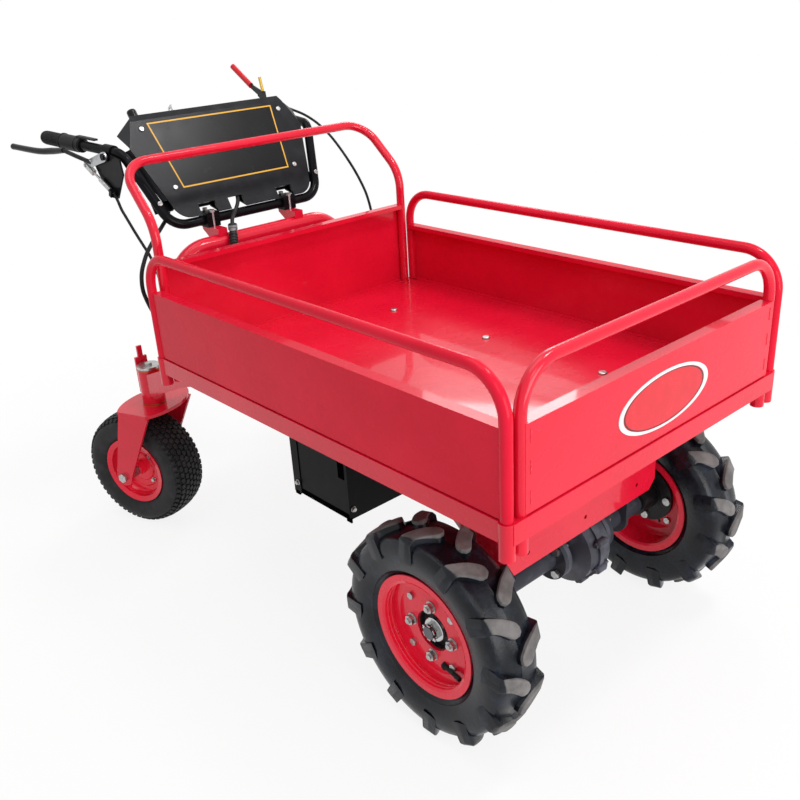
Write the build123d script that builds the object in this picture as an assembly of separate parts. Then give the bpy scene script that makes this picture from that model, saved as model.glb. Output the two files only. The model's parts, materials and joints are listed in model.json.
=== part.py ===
from build123d import *
from math import atan2, cos, degrees, hypot, pi, radians, sin, sqrt, tan
import os

# Electric mini dumper: a fixed sheet-metal load bed on two driven wheels and two swivel casters.
# Millimetres. +Z is up, the front faces -Y and +X is the machine's left.
# Lengths along Y are first measured backwards from the front face of the bed.
# The finished pieces are moved so that the origin lies on the ground under the middle.

# Load bed
bed_width = 740.0
bed_length = 1000.0
bed_underside = 490.0
ring_height = 35.0
ring_flange = 40.0
ring_wall = 4.0
cross_bar_width = 40.0
cross_bar_wall = 3.0
floor_sheet = 2.0
floor_margin = 15.0
floor_corner_x = 60.0
floor_corner_y = 40.0
floor_bolt_rows = (230.0, 530.0, 823.0)
floor_bolt_offset = 150.0
floor_bolt_radius = 4.0
floor_bolt_head = 8.5
floor_bolt_head_height = 4.0

# Stake sockets and lift-out panels
stake_diameter = 20.0
stake_wall = 2.0
stake_bore_depth = 40.0
socket_clearance = 0.5
socket_wall = 2.0
socket_drop = 27.0
socket_floor = 3.0
socket_drain = 5.0
socket_inset = 13.5
side_stake_inset = 7.5
end_stake_inset = 35.5
panel_sheet = 2.0
panel_setback = 3.0
panel_gap = 2.0
panel_height = 142.0
rear_panel_height = 195.0
lip_width = 22.0
lip_return = 10.0
bottom_fold = 12.0
rail_height = 222.0
rail_bend = 70.0
hoop_knee = 275.0
hoop_height = 386.0
hoop_back = 119.5
hoop_taper = 7.0
hoop_knee_bend = 90.0
hoop_corner_bend = 62.0

# Chassis
frame_half_width = 220.0
frame_rail_width = 40.0
frame_rail_height = 60.0
frame_rail_wall = 4.0
front_plate_y = 148.0
front_plate_thickness = 5.0
front_plate_bottom = 285.0
front_plate_corner = 18.0
front_plate_lip = 14.0
tie_hole_spacing = 159.0
tie_hole_radius = 4.0
tie_hole_height = 28.5
beam_ahead_of_arch = 28.0
beam_depth = 56.0
beam_top = 450.0
beam_height = 50.0
arm_width = 40.0
gland_plate_half = 40.0
gland_plate_reach = 70.0
arm_overlap = 60.0
arm_foot = 20.0
arm_root_rise = 25.0
arm_belly = (30.0, -6.0)

# Casters
kingpin_half_track = 294.0
kingpin_behind_bed = 218.0
kingpin_radius = 15.0
kingpin_fit = 0.05
bush_wall = 5.0
bush_flange = 3.0
housing_radius = 27.5
housing_bottom = 332.0
housing_top = 416.0
running_gap = 0.3
crown_thickness = 8.0
crown_half_length = 105.0
crown_half_depth = 68.0
crown_centre = 4.0
fork_half_gap = 76.0
fork_plate = 6.0
fork_top_front = -45.0
fork_top_rear = 45.0
fork_end_radius = 23.0
caster_trail = 65.0
caster_turn = 21.5
caster_radius = 147.8
caster_tyre_half_width = 55.0
caster_rim_radius = 76.2
caster_rim_half_width = 41.0
caster_flange_radius = 86.0
caster_hub_radius = 18.0
caster_hub_half = 40.0
caster_axle_radius = 8.0
caster_axle_fit = 0.05
caster_axle_head = 12.0
caster_axle_head_height = 8.0
caster_cap_thickness = 6.0
caster_cap_bolt = 5.0

# Swivel lock bars
lock_width = 20.0
lock_thickness = 6.0
lock_stand_off = 5.0
lock_clearance = 0.4
lock_guide_wall = 3.0
lock_guide_bottom = 347.0
lock_head_width = 30.0
lock_head_bottom = 406.0
lock_head_height = 32.0
lock_tab_width = 12.0
lock_tab_height = 27.0
lock_foot_gap = 1.5

# Drive axle and wheels
axle_y = 221.0
drive_radius = 202.0
wheel_half_track = 309.0
tread_half_width = 52.5
carcass_radius = 188.5
carcass_half_width = 50.5
tyre_wall = 10.0
lug_count = 12
lug_width = 20.0
lug_slant = 18.0
lug_foot_width = 27.0
rim_seat_radius = 101.6
rim_seat_half = 36.0
rim_flange_radius = 115.0
rim_sheet = 3.0
rim_joint = 12.0
rim_bore = 38.0
tyre_seat_gap = 0.3
stud_circle = 50.0
stud_radius = 5.0
rim_bolt_circle = 70.0
rim_bolt_radius = 4.0
wheel_bolt_count = 4
stud_end = 14.0
stud_head_height = 5.0
stud_washer = 2.0
stud_nut_height = 8.0
rim_bolt_head_height = 5.0
axle_washer = 3.0
bolt_clearance = 0.3
hub_flange_radius = 60.0
hub_flange_thickness = 8.0
hub_barrel_radius = 29.0
hub_recess = 9.0
half_shaft_radius = 14.0
shaft_end = 26.0
axle_nut_radius = 16.0
axle_nut_height = 16.0
axle_tube_radius = 23.0
axle_tube_wall = 4.0
axle_tube_end = 258.0
bearing_width = 16.0
bearing_fit = 0.05
gear_case_right = 0.0
gear_case_left = 110.0
gear_case_radius = 70.0
case_neck_radius = 28.0
case_neck_length = 10.0
case_cone = 16.0
case_rib = 5.0
case_rib_width = 12.0
case_plug_radius = 11.0
case_plug_angle = 205.0
case_flange_radius = 46.0
case_flange_thickness = 10.0
tube_flange_thickness = 10.0
flange_bolt_circle = 35.0
flange_bolt_count = 4
flange_bolt_radius = 5.0
flange_bolt_head = 8.5
flange_bolt_head_height = 8.0
hanger_x = 190.0
hanger_thickness = 8.0
hanger_half_depth = 35.0
motor_x = 55.0
motor_radius = 62.0
motor_length = 180.0
motor_neck_radius = 45.0
motor_neck_length = 79.0
motor_flange_thickness = 10.0
motor_flange_rise = 6.0
motor_cap_length = 14.0
motor_cap_inset = 12.0
motor_groove_width = 6.0
motor_groove_depth = 3.0
motor_groove_back = 40.0

# Battery box and controller
box_half_width = 222.0
box_front = 565.0
box_rear = 750.0
box_depth = 198.0
box_sheet = 2.0
box_strip = 22.0
battery_count = 4
battery_width = 77.0
battery_length = 170.0
battery_height = 167.0
battery_pitch = 84.0
battery_post = 6.0
battery_post_height = 8.0
controller_half_width = 80.0
controller_length = 90.0
controller_height = 42.0
controller_fins = 8
controller_fin_depth = 12.0

# Handlebar, arch and clamps
arch_behind_bed = 118.0
arch_radius = 21.0
arch_half_width = 235.0
arch_drop = 51.0
arch_bend = 85.0
lug_half_track = 108.0
saddle_width = 24.0
saddle_drop = 15.0
saddle_nose = 8.0
saddle_front = 12.0
saddle_rear = 56.0
bar_behind_bed = 158.0
bar_height = 748.0
bar_radius = 11.0
bar_half_width = 204.0
bar_corner_bend = 52.0
bar_top_half_width = 256.0
bar_top_back = 82.0
bar_top_rise = 163.0
bar_top_bend = 38.0
handle_out = 43.0
handle_back = 301.0
handle_rise = 21.0
sleeve_fit = 0.15
clamp_width = 34.0
clamp_half_depth = 19.0
clamp_cap = 18.0
clamp_bolt_radius = 4.0
clamp_bolt_head = 6.5
clamp_bolt_head_height = 6.0

# Console
console_plate = 3.0
console_plate_gap = 1.9
console_tilt = 4.6
console_wall = 2.5
console_low_half = 165.0
console_top_half = 198.0
console_bottom = 7.0
console_face_top = 252.0
console_corner = 40.0
console_ridge = (266.7, 13.0)
console_rear = (261.5, -70.2)
console_waist = (213.1, -55.1)
console_heel = (33.0, -11.4)
plate_foot_half = 182.7
plate_hip = (234.6, 189.2)
plate_brow_half = 202.0
plate_corner = 45.0
wing_tip = (242.0, 231.0, -3.5)
edge_fold = 8.0
edge_fold_start = 60.0
console_notch_width = 44.0
console_notch_top = 36.0
console_notch_depth = 60.0
loom_notch_x = -30.0
loom_notch_width = 40.0
console_window_half = 150.0
console_window_margin = 30.0
console_ear_v = 53.0
console_ear_height = 26.0
console_ear_reach = 8.0
console_ear_inset = 10.0
console_ear_gap = 0.2
ear_nut_radius = 5.0
ear_nut_height = 4.0
screw_radius = 2.5
screw_head = 6.0
screw_head_height = 3.0
screw_length = 12.0
screw_places = ((188.2, 231.0), (166.8, 83.3))
gauge_x = 40.0
gauge_width = 62.0
gauge_height = 36.0
gauge_bezel = 5.0
gauge_body_inset = 4.0
gauge_depth = 18.0
key_x = -70.0
key_barrel_radius = 10.0
key_barrel_depth = 22.0
key_bezel_radius = 14.0
key_bezel_height = 6.0
key_plug_radius = 4.0
key_plug_depth = 12.0
key_bow_width = 22.0
key_bow_height = 26.0
key_bow_thickness = 2.5
knob_x = -184.0
knob_radius = 11.0
knob_height = 22.0
knob_spindle = 3.0
knob_spindle_depth = 12.0
knob_forward = 26.0
panel_fit = 0.3
gland_x = -165.0
gland_v = 102.3
gland_half = 10.0
gland_length = 20.0
gland_back = -47.3

# Hand controls: starts along the handle from its bend, pivots and ends back and up from the lower bar
grip_start = 226.0
grip_radius = 16.0
grip_cap = 4.0
throttle_start = 168.0
throttle_radius = 18.0
throttle_ring_length = 14.0
throttle_ring_radius = 17.0
throttle_ring_gap = 0.4
throttle_paddle_length = 58.0
throttle_paddle_width = 11.0
throttle_paddle_thickness = 4.0
throttle_paddle_height = 21.0
bracket_ring_start = 30.0
bracket_ring_length = 32.0
bracket_ring_radius = 14.5
bracket_plate = 4.0
bracket_plate_x = 275.0
bracket_flat_gap = 1.2
bracket_outline = ((-46.0, 77.0), (-52.0, 44.0), (-7.0, -13.0), (18.0, -14.0),
                   (62.0, 22.0), (88.0, 59.0), (30.0, 86.0), (0.0, 85.0))
lever_plane_x = 281.0
lever_plate = 4.0
lever_hub = 11.0
lever_pivot = (123.0, 157.0)
lever_eye = (222.0, 130.0)
lever_eye_radius = 9.0
rod_guide = (109.0, 78.0)
pivot_radius = 4.0
pivot_fit = 0.05
pivot_head = 7.5
pivot_head_height = 4.0
rod_radius = 3.0
rod_pin_radius = 3.5
fork_cheek = 2.5
fork_cheek_gap = 0.4
fork_cheek_half = 6.0
fork_cheek_length = 30.0
rod_barrel_radius = 5.5
rod_barrel_start = 66.0
rod_barrel_end = 112.0
guide_thickness = 10.0
guide_hole = 4.6
guide_half = 8.0
blade_height = 5.5
blade_width = 4.0
blade_ball = 6.0
blade_steps = ((0.0, 74.0, -19.0), (-22.0, 100.0, -3.0), (-38.0, 124.0, 10.0),
               (-46.0, 170.0, 6.0), (-60.0, 224.0, 4.0), (-80.0, 314.0, 10.0))
blade_bends = (16.0, 24.0, 60.0, 120.0)
left_pivot = (324.0, 220.5)
left_plate_x = 286.0
left_ring_start = 196.0
left_ring_length = 20.0
left_lever_hub = 10.0
left_elbow = (372.0, 242.0)
left_tip = (454.0, 291.0)
left_sleeve_radius = 7.5
adjuster_radius = 4.0
adjuster_height = 38.0
adjuster_foot = (-16.0, 8.0)
adjuster_lean = 9.0
cable_boss_drop = 12.0
cable_boss_front = 27.0
cable_boss_rear = 10.0
left_bracket_ears = ((12.0, -3.0), (10.0, 10.0), (-22.0, 10.0), (-26.0, -16.0))
left_bracket_foot = 7.0

# Cords
cord_fall = 298.0
brake_cable_radius = 3.2
left_cable_radius = 3.2
power_cable_radius = 4.5
hose_radius = 10.0
hose_root_radius = 8.6
hose_bore = 6.8
hose_pitch = 7.0
loom_radius = 4.5
hose_collar_radius = 10.8
hose_collar_length = 8.0

# Values worked out from the sizes above
half_bed = bed_width / 2
ring_top = bed_underside + ring_height
floor_top = ring_top + floor_sheet
stake_radius = stake_diameter / 2
socket_bore = stake_radius + socket_clearance
socket_radius = socket_bore + socket_wall
socket_bottom = bed_underside - socket_drop
stake_foot = socket_bottom + socket_floor + running_gap
frame_rail_bottom = bed_underside - frame_rail_height
frame_rail_x = frame_half_width - frame_rail_width / 2
kingpin_y = bed_length + kingpin_behind_bed
arch_y = bed_length + arch_behind_bed
bar_y = bed_length + bar_behind_bed
beam_front = arch_y - beam_ahead_of_arch
crown_top = housing_bottom - bush_flange - running_gap
crown_bottom = crown_top - crown_thickness
cap_bottom = housing_top + bush_flange + running_gap
bush_radius = kingpin_radius + kingpin_fit + bush_wall
wheel_axle = (axle_y, drive_radius)
arch_height = bar_height - arch_drop
saddle_top = bar_height - saddle_drop
console_lean = atan2(bar_top_back, bar_top_rise) + radians(console_tilt)
slope_length = hypot(bar_top_back, bar_top_rise) * cos(radians(console_tilt))
face_back = bar_radius + console_plate_gap
face_front = face_back + console_plate
handle_length = sqrt(handle_out ** 2 + handle_back ** 2 + handle_rise ** 2)


def block(x0, x1, y0, y1, z0, z1):
    """A block given by its six faces."""
    middle = Pos((x0 + x1) / 2, (y0 + y1) / 2, (z0 + z1) / 2)
    return middle * Box(abs(x1 - x0), abs(y1 - y0), abs(z1 - z0))


def rod(start, end, radius):
    """A round bar between two points."""
    start = Vector(*start)
    reach = Vector(*end) - start
    return extrude(Plane(origin=start, z_dir=reach) * Circle(radius), reach.length)


def sleeve(start, end, radius, bore):
    """A round bar between two points with a bore right through it."""
    return rod(start, end, radius) - rod(start, end, bore)


def bent_bar(points, bends, section):
    """A section swept along straight runs joined by tangent arcs."""
    path = FilletPolyline(*points, radius=list(bends))
    start = Plane(origin=path @ 0, x_dir=(1, 0, 0), z_dir=path % 0)
    return sweep(start * section, path=path)


def turned(outline):
    """A closed outline of (axial, radius) points turned about the X axis."""
    return revolve(make_face(Polyline(*outline, close=True)), Axis.X)


def upright_plate(outline, x0, x1):
    """A plate with an outline of (y, z) points, from x0 to x1."""
    low, high = min(x0, x1), max(x0, x1)
    face = Plane.YZ.offset(low) * make_face(Polyline(*outline, close=True))
    return extrude(face, high - low)


def other_side(shape):
    """The same piece on the machine's other side."""
    return mirror(shape, about=Plane.YZ)


def hexagon_bar(start, end, radius):
    """A hexagonal head or nut between two points."""
    start = Vector(*start)
    reach = Vector(*end) - start
    return extrude(Plane(origin=start, z_dir=reach) * RegularPolygon(radius, 6), reach.length)


def around(count, first=0.0):
    """Evenly spaced angles in degrees."""
    return [first + 360.0 * i / count for i in range(count)]


def on_circle(radius, angle, centre=(0.0, 0.0)):
    """A point (y, z) on a circle in an upright plane along the machine."""
    return (centre[0] + radius * cos(radians(angle)), centre[1] + radius * sin(radians(angle)))


# Load bed

def stake_places():
    """Centres (x, y) of the eight stakes: two on each side of the bed."""
    side_x = half_bed - side_stake_inset
    end_x = half_bed - end_stake_inset
    rows = (socket_inset, bed_length - socket_inset)
    return [(s * x, y) for s in (-1, 1) for x in (side_x, end_x) for y in rows]


def bed_frame():
    """Angle ring, channel cross bars and eight stake sockets, welded together."""
    inner = half_bed - ring_wall
    clear = half_bed - ring_flange
    under_flange = ring_top - ring_wall
    frame = block(-half_bed, half_bed, 0, bed_length, bed_underside, ring_top)
    frame -= block(-inner, inner, ring_wall, bed_length - ring_wall, bed_underside, under_flange)
    frame -= block(-clear, clear, ring_flange, bed_length - ring_flange, bed_underside, ring_top)
    for s in (-1, 1):
        for y in (0, bed_length):
            inward = socket_inset if y == 0 else -socket_inset
            frame -= block(s * half_bed, s * (half_bed - side_stake_inset), y, y + inward,
                           bed_underside, ring_top)
    for row in floor_bolt_rows:
        front = row - cross_bar_width / 2
        rear = row + cross_bar_width / 2
        frame += block(-inner, inner, front, rear, bed_underside, under_flange)
        frame += block(-clear, clear, front, rear, under_flange, ring_top)
        frame -= block(-inner, inner, front + cross_bar_wall, rear - cross_bar_wall,
                       bed_underside, under_flange - cross_bar_wall)
    for x, y in stake_places():
        frame += rod((x, y, socket_bottom), (x, y, ring_top), socket_radius)
    for x, y in stake_places():
        frame -= rod((x, y, socket_bottom + socket_floor), (x, y, ring_top), socket_bore)
        frame -= rod((x, y, socket_bottom), (x, y, ring_top), socket_drain)
    for x, y in floor_bolt_places():
        frame -= rod((x, y, bed_underside), (x, y, ring_top), floor_bolt_radius + bolt_clearance)
    return frame


def floor_bolt_places():
    """Centres (x, y) of the floor bolts."""
    return [(s * floor_bolt_offset, row) for row in floor_bolt_rows for s in (-1, 1)]


def bed_floor():
    """Floor sheet with its corners cut away for the sockets."""
    edge = half_bed - floor_margin
    floor = block(-edge, edge, floor_margin, bed_length - floor_margin, ring_top, floor_top)
    for s in (-1, 1):
        for y in (0, bed_length):
            inward = floor_corner_y if y == 0 else -floor_corner_y
            floor -= block(s * half_bed, s * (half_bed - floor_corner_x), y, y + inward, ring_top, floor_top)
    for x, y in floor_bolt_places():
        floor -= rod((x, y, ring_top), (x, y, floor_top), floor_bolt_radius + bolt_clearance)
    return floor


def floor_bolts():
    """Dome-headed bolts through the floor and the cross bars, with nuts under the bars' tops."""
    nut_top = ring_top - ring_wall - cross_bar_wall
    bolts = []
    for x, y in floor_bolt_places():
        dome = Pos(x, y, floor_top) * Cylinder(floor_bolt_head, floor_bolt_head_height,
                                               align=(Align.CENTER, Align.CENTER, Align.MIN))
        dome = fillet(dome.edges().group_by(Axis.Z)[-1], floor_bolt_head_height * 0.6)
        shank = rod((x, y, floor_top), (x, y, nut_top - floor_bolt_radius * 3), floor_bolt_radius)
        nut = hexagon_bar((x, y, nut_top), (x, y, nut_top - floor_bolt_radius * 2), floor_bolt_radius * 2)
        bolts.append(dome + shank + nut)
    return Compound(bolts)


def panel_sheet_form(half_span, height, inset):
    """Sheet with a folded lip on top and a short fold at the foot. Its outside faces -Y."""
    outer = panel_setback - inset
    inner = outer + panel_sheet
    foot = ring_top + panel_gap
    top = foot + height
    lip_end = half_span - stake_radius + panel_sheet
    sheet = block(-half_span, half_span, outer, inner, foot, top)
    sheet += block(-lip_end, lip_end, outer, outer + lip_width, top - panel_sheet, top)
    lip_inner = outer + lip_width - panel_sheet
    sheet += block(-lip_end, lip_end, lip_inner, outer + lip_width, top - lip_return, top)
    sheet += block(-lip_end, lip_end, outer, outer + bottom_fold, foot, foot + panel_sheet)
    return sheet


def hollow_feet(half_span):
    """The open tube ends at the foot of a panel's two stakes."""
    return [rod((s * half_span, 0, stake_foot), (s * half_span, 0, stake_foot + stake_bore_depth),
                stake_radius - stake_wall) for s in (-1, 1)]


def rail_panel(half_span, inset):
    """A bent rail with two stakes and a welded sheet, along X with its outside to -Y."""
    top = ring_top + rail_height
    points = ((-half_span, 0, stake_foot), (-half_span, 0, top),
              (half_span, 0, top), (half_span, 0, stake_foot))
    panel = bent_bar(points, (rail_bend, rail_bend), Circle(stake_radius))
    panel += panel_sheet_form(half_span, panel_height, inset)
    for bore in hollow_feet(half_span):
        panel -= bore
    return panel


def hoop_panel(half_span, inset):
    """The rear sheet with a tall hoop that leans backwards above its knees."""
    knee = ring_top + hoop_knee
    top = ring_top + hoop_height
    top_half = half_span - hoop_taper
    points = ((-half_span, 0, stake_foot), (-half_span, 0, knee), (-top_half, -hoop_back, top),
              (top_half, -hoop_back, top), (half_span, 0, knee), (half_span, 0, stake_foot))
    bends = (hoop_knee_bend, hoop_corner_bend, hoop_corner_bend, hoop_knee_bend)
    panel = bent_bar(points, bends, Circle(stake_radius))
    panel += panel_sheet_form(half_span, rear_panel_height, inset)
    for bore in hollow_feet(half_span):
        panel -= bore
    return panel


def panels():
    """The four lift-out panels, each on its own side of the bed."""
    end_span = half_bed - end_stake_inset
    side_span = bed_length / 2 - socket_inset
    side_x = half_bed - side_stake_inset
    side = rail_panel(side_span, side_stake_inset)
    return {
        "front_panel": Pos(0, socket_inset, 0) * rail_panel(end_span, socket_inset),
        "rear_panel": Pos(0, bed_length - socket_inset, 0) * Rot(Z=180) * hoop_panel(end_span, socket_inset),
        "left_side_panel": Pos(side_x, bed_length / 2, 0) * Rot(Z=90) * side,
        "right_side_panel": Pos(-side_x, bed_length / 2, 0) * Rot(Z=-90) * side,
    }


# Chassis

def caster_arm():
    """Left arm from under the bed to the kingpin housing, with the lock guide behind it."""
    x0 = kingpin_half_track - arm_width / 2
    x1 = kingpin_half_track + arm_width / 2
    housing_front = kingpin_y - housing_radius + ring_wall
    outline = ((bed_length - arm_overlap, bed_underside), (bed_length, bed_underside),
               (housing_front, housing_top - 2 * bush_flange), (housing_front, housing_bottom + arm_foot),
               (bed_length + arm_belly[0], frame_rail_bottom + arm_belly[1]),
               (bed_length - arm_overlap, frame_rail_bottom + arm_root_rise))
    arm = upright_plate(outline, x0, x1)
    axis = (kingpin_half_track, kingpin_y)
    arm += rod((*axis, housing_bottom), (*axis, housing_top), housing_radius)
    arm += lock_guide()
    arm -= rod((*axis, housing_bottom), (*axis, housing_top), bush_radius)
    return arm


def lock_guide():
    """Channel on the back of the left kingpin housing in which the lock bar slides."""
    front = kingpin_y + housing_radius + lock_stand_off - lock_clearance
    rear = front + lock_thickness + 2 * lock_clearance
    half = lock_width / 2 + lock_clearance
    top = lock_head_bottom - running_gap
    wall = lock_guide_wall
    x = kingpin_half_track
    guide = block(x - half - wall, x + half + wall, kingpin_y + bush_radius + 1, rear + wall,
                  lock_guide_bottom, top)
    guide -= block(x - half, x + half, front, rear, lock_guide_bottom, top)
    return guide


def chassis_frame():
    """Front plate, rails and rear beam, welded together."""
    half = frame_half_width
    plate_rear = front_plate_y + front_plate_thickness
    frame = block(-half, half, front_plate_y, plate_rear, front_plate_bottom, bed_underside)
    frame += block(-half, half, front_plate_y, plate_rear + front_plate_lip,
                   front_plate_bottom, front_plate_bottom + front_plate_thickness)
    for s in (-1, 1):
        corner = ((s * half, front_plate_bottom), (s * (half - front_plate_corner), front_plate_bottom),
                  (s * half, front_plate_bottom + front_plate_corner))
        wedge = make_face(Polyline(*[(x, 0, z) for x, z in corner], close=True))
        frame -= extrude(wedge, amount=bed_length, dir=(0, 1, 0))
        inner = s * (half - frame_rail_width)
        frame += block(s * half, inner, plate_rear, beam_front, frame_rail_bottom, bed_underside)
        frame -= block(s * (half - frame_rail_wall), inner + s * frame_rail_wall, plate_rear, beam_front,
                       frame_rail_bottom + frame_rail_wall, bed_underside - frame_rail_wall)
        hole = (s * tie_hole_spacing, front_plate_bottom + tie_hole_height)
        frame -= rod((hole[0], front_plate_y, hole[1]), (hole[0], plate_rear, hole[1]), tie_hole_radius)
    middle_hole = front_plate_bottom + tie_hole_height
    frame -= rod((0, front_plate_y, middle_hole), (0, plate_rear, middle_hole), tie_hole_radius)
    beam_half = kingpin_half_track - arm_width / 2
    frame += block(-beam_half, beam_half, beam_front, beam_front + beam_depth,
                   beam_top - beam_height, beam_top)
    frame += block(hose_points[-1][0] - gland_plate_half, hose_points[-1][0] + gland_plate_half,
                   beam_front - gland_plate_reach, beam_front,
                   beam_top - cross_bar_wall, beam_top)
    return frame


def kingpin_bushes():
    """Four flanged bushes, two in each kingpin housing."""
    bushes = []
    length = (housing_top - housing_bottom) / 3
    for s in (-1, 1):
        axis = (s * kingpin_half_track, kingpin_y)
        bore = kingpin_radius + kingpin_fit
        for end, inward in ((housing_bottom, 1), (housing_top, -1)):
            bush = rod((*axis, end), (*axis, end + inward * length), bush_radius)
            bush += rod((*axis, end), (*axis, end - inward * bush_flange), housing_radius)
            bush -= rod((*axis, end - inward * bush_flange), (*axis, end + inward * length), bore)
            bushes.append(bush)
    return Compound(bushes)


# Casters, built about the right kingpin with the wheel running along +Y

def placed_caster(shape):
    """The right caster's place, turned a little as it trails."""
    return Pos(-kingpin_half_track, kingpin_y, 0) * Rot(Z=caster_turn) * shape


def caster_fork():
    """Crown plate, two legs and the kingpin, welded together."""
    crown = extrude(Ellipse(crown_half_length, crown_half_depth), crown_thickness)
    crown = Pos(0, crown_centre, crown_bottom) * crown
    outer = fork_half_gap + fork_plate
    crown -= block(-2 * crown_half_length, -outer, -bed_width, bed_width, crown_bottom, crown_top)
    fork = crown + rod((0, 0, crown_bottom), (0, 0, cap_bottom), kingpin_radius)
    outline = ((fork_top_front, crown_bottom), (fork_top_rear, crown_bottom),
               (caster_trail + fork_end_radius, caster_radius), (caster_trail - fork_end_radius, caster_radius))
    for s in (-1, 1):
        near, far = s * fork_half_gap, s * outer
        fork += upright_plate(outline, near, far)
        fork += rod((near, caster_trail, caster_radius), (far, caster_trail, caster_radius), fork_end_radius)
    fork -= rod((-outer, caster_trail, caster_radius), (outer, caster_trail, caster_radius),
                caster_axle_radius + bolt_clearance)
    fork -= rod((0, 0, cap_bottom), (0, 0, cap_bottom - 6 * caster_cap_bolt), caster_cap_bolt + bolt_clearance)
    return fork


def caster_fasteners():
    """Axle bolt, nut, two spacers, kingpin cap and its bolt."""
    outer = fork_half_gap + fork_plate
    axis = (caster_trail, caster_radius)
    bolt = rod((-outer, *axis), (outer + caster_axle_head_height + 4, *axis), caster_axle_radius)
    bolt += hexagon_bar((-outer, *axis), (-outer - caster_axle_head_height, *axis), caster_axle_head)
    nut = hexagon_bar((outer, *axis), (outer + caster_axle_head_height, *axis), caster_axle_head)
    nut -= rod((outer, *axis), (outer + caster_axle_head_height, *axis), caster_axle_radius + sleeve_fit)
    pieces = [bolt, nut]
    for s in (-1, 1):
        inner_end = s * (caster_hub_half + running_gap)
        pieces.append(sleeve((inner_end, *axis), (s * fork_half_gap, *axis), caster_hub_radius - 3,
                             caster_axle_radius + sleeve_fit))
    cap_top = cap_bottom + caster_cap_thickness
    cap = sleeve((0, 0, cap_bottom), (0, 0, cap_top), housing_radius, caster_cap_bolt + bolt_clearance)
    cap_bolt = rod((0, 0, cap_top), (0, 0, cap_bottom - 5 * caster_cap_bolt), caster_cap_bolt)
    cap_bolt += hexagon_bar((0, 0, cap_top), (0, 0, cap_top + caster_cap_bolt), caster_cap_bolt * 1.8)
    return Compound(pieces + [cap, cap_bolt])


def caster_rim():
    """One-piece rim with a stepped disc and a plain hub."""
    bore = caster_axle_radius + caster_axle_fit
    half = caster_rim_half_width
    seat = caster_rim_radius
    barrel = seat - rim_sheet
    web = rim_sheet / 2
    step = rim_sheet * 2
    flange = caster_flange_radius
    right = ((web + step, caster_hub_radius), (web + step, barrel * 0.45), (web, barrel * 0.55),
             (web, barrel * 0.85), (web + step, barrel), (half + 2, barrel), (half + 6, flange), (half + 3, flange), (half, seat))
    outline = [(-caster_hub_half, bore), (caster_hub_half, bore), (caster_hub_half, caster_hub_radius)]
    outline += list(right)
    outline += [(-a, r) for a, r in reversed(right)]
    outline += [(-caster_hub_half, caster_hub_radius)]
    return Pos(0, caster_trail, caster_radius) * turned(outline)


def caster_tyre():
    """Turf tyre with round shoulders and three tread grooves."""
    half = caster_rim_half_width - tyre_seat_gap
    seat = caster_rim_radius + tyre_seat_gap
    wide = caster_tyre_half_width
    crown = caster_radius
    outside = ((half, seat), (half + 2.5, caster_flange_radius + 1), (wide - 4, crown * 0.68),
               (wide, crown * 0.8), (wide - 4, crown * 0.91), (wide - 16, crown * 0.975), (wide / 3, crown - 0.6), (0, crown))
    inside = ((half - tyre_wall, seat), (half - tyre_wall + 2, caster_flange_radius + 3),
              (wide - tyre_wall - 2, crown * 0.72), (wide - tyre_wall, crown * 0.8),
              (wide - tyre_wall - 4, crown * 0.87), (0, crown - tyre_wall))
    outline = list(outside) + [(-a, r) for a, r in reversed(outside[:-1])]
    outline += [(-a, r) for a, r in inside] + list(reversed(inside[:-1]))
    tyre = turned(outline)
    for a in (-wide / 3, 0, wide / 3):
        groove = ((a - 2, crown - 5), (a + 2, crown - 5), (a + 2, crown + 1), (a - 2, crown + 1))
        tyre -= turned(groove)
    return Pos(0, caster_trail, caster_radius) * tyre


def swivel_lock():
    """Left lock bar: a flat bar with a wide head and a finger tab."""
    front = kingpin_y + housing_radius + lock_stand_off
    rear = front + lock_thickness
    x = kingpin_half_track
    head_top = lock_head_bottom + lock_head_height
    bar = block(x - lock_width / 2, x + lock_width / 2, front, rear, crown_top + lock_foot_gap, head_top)
    bar += block(x - lock_head_width / 2, x + lock_head_width / 2, front, rear, lock_head_bottom, head_top)
    bar += block(x - lock_tab_width / 2, x + lock_tab_width / 2, front, rear,
                 head_top, head_top + lock_tab_height)
    return bar


# Drive axle

def at_axle(shape):
    """Moves a piece turned about the X axis onto the drive axle."""
    return Pos(0, *wheel_axle) * shape


def at_left_wheel(shape):
    """Moves a piece turned about the X axis to the left wheel's middle plane."""
    return Pos(wheel_half_track, *wheel_axle) * shape


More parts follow.
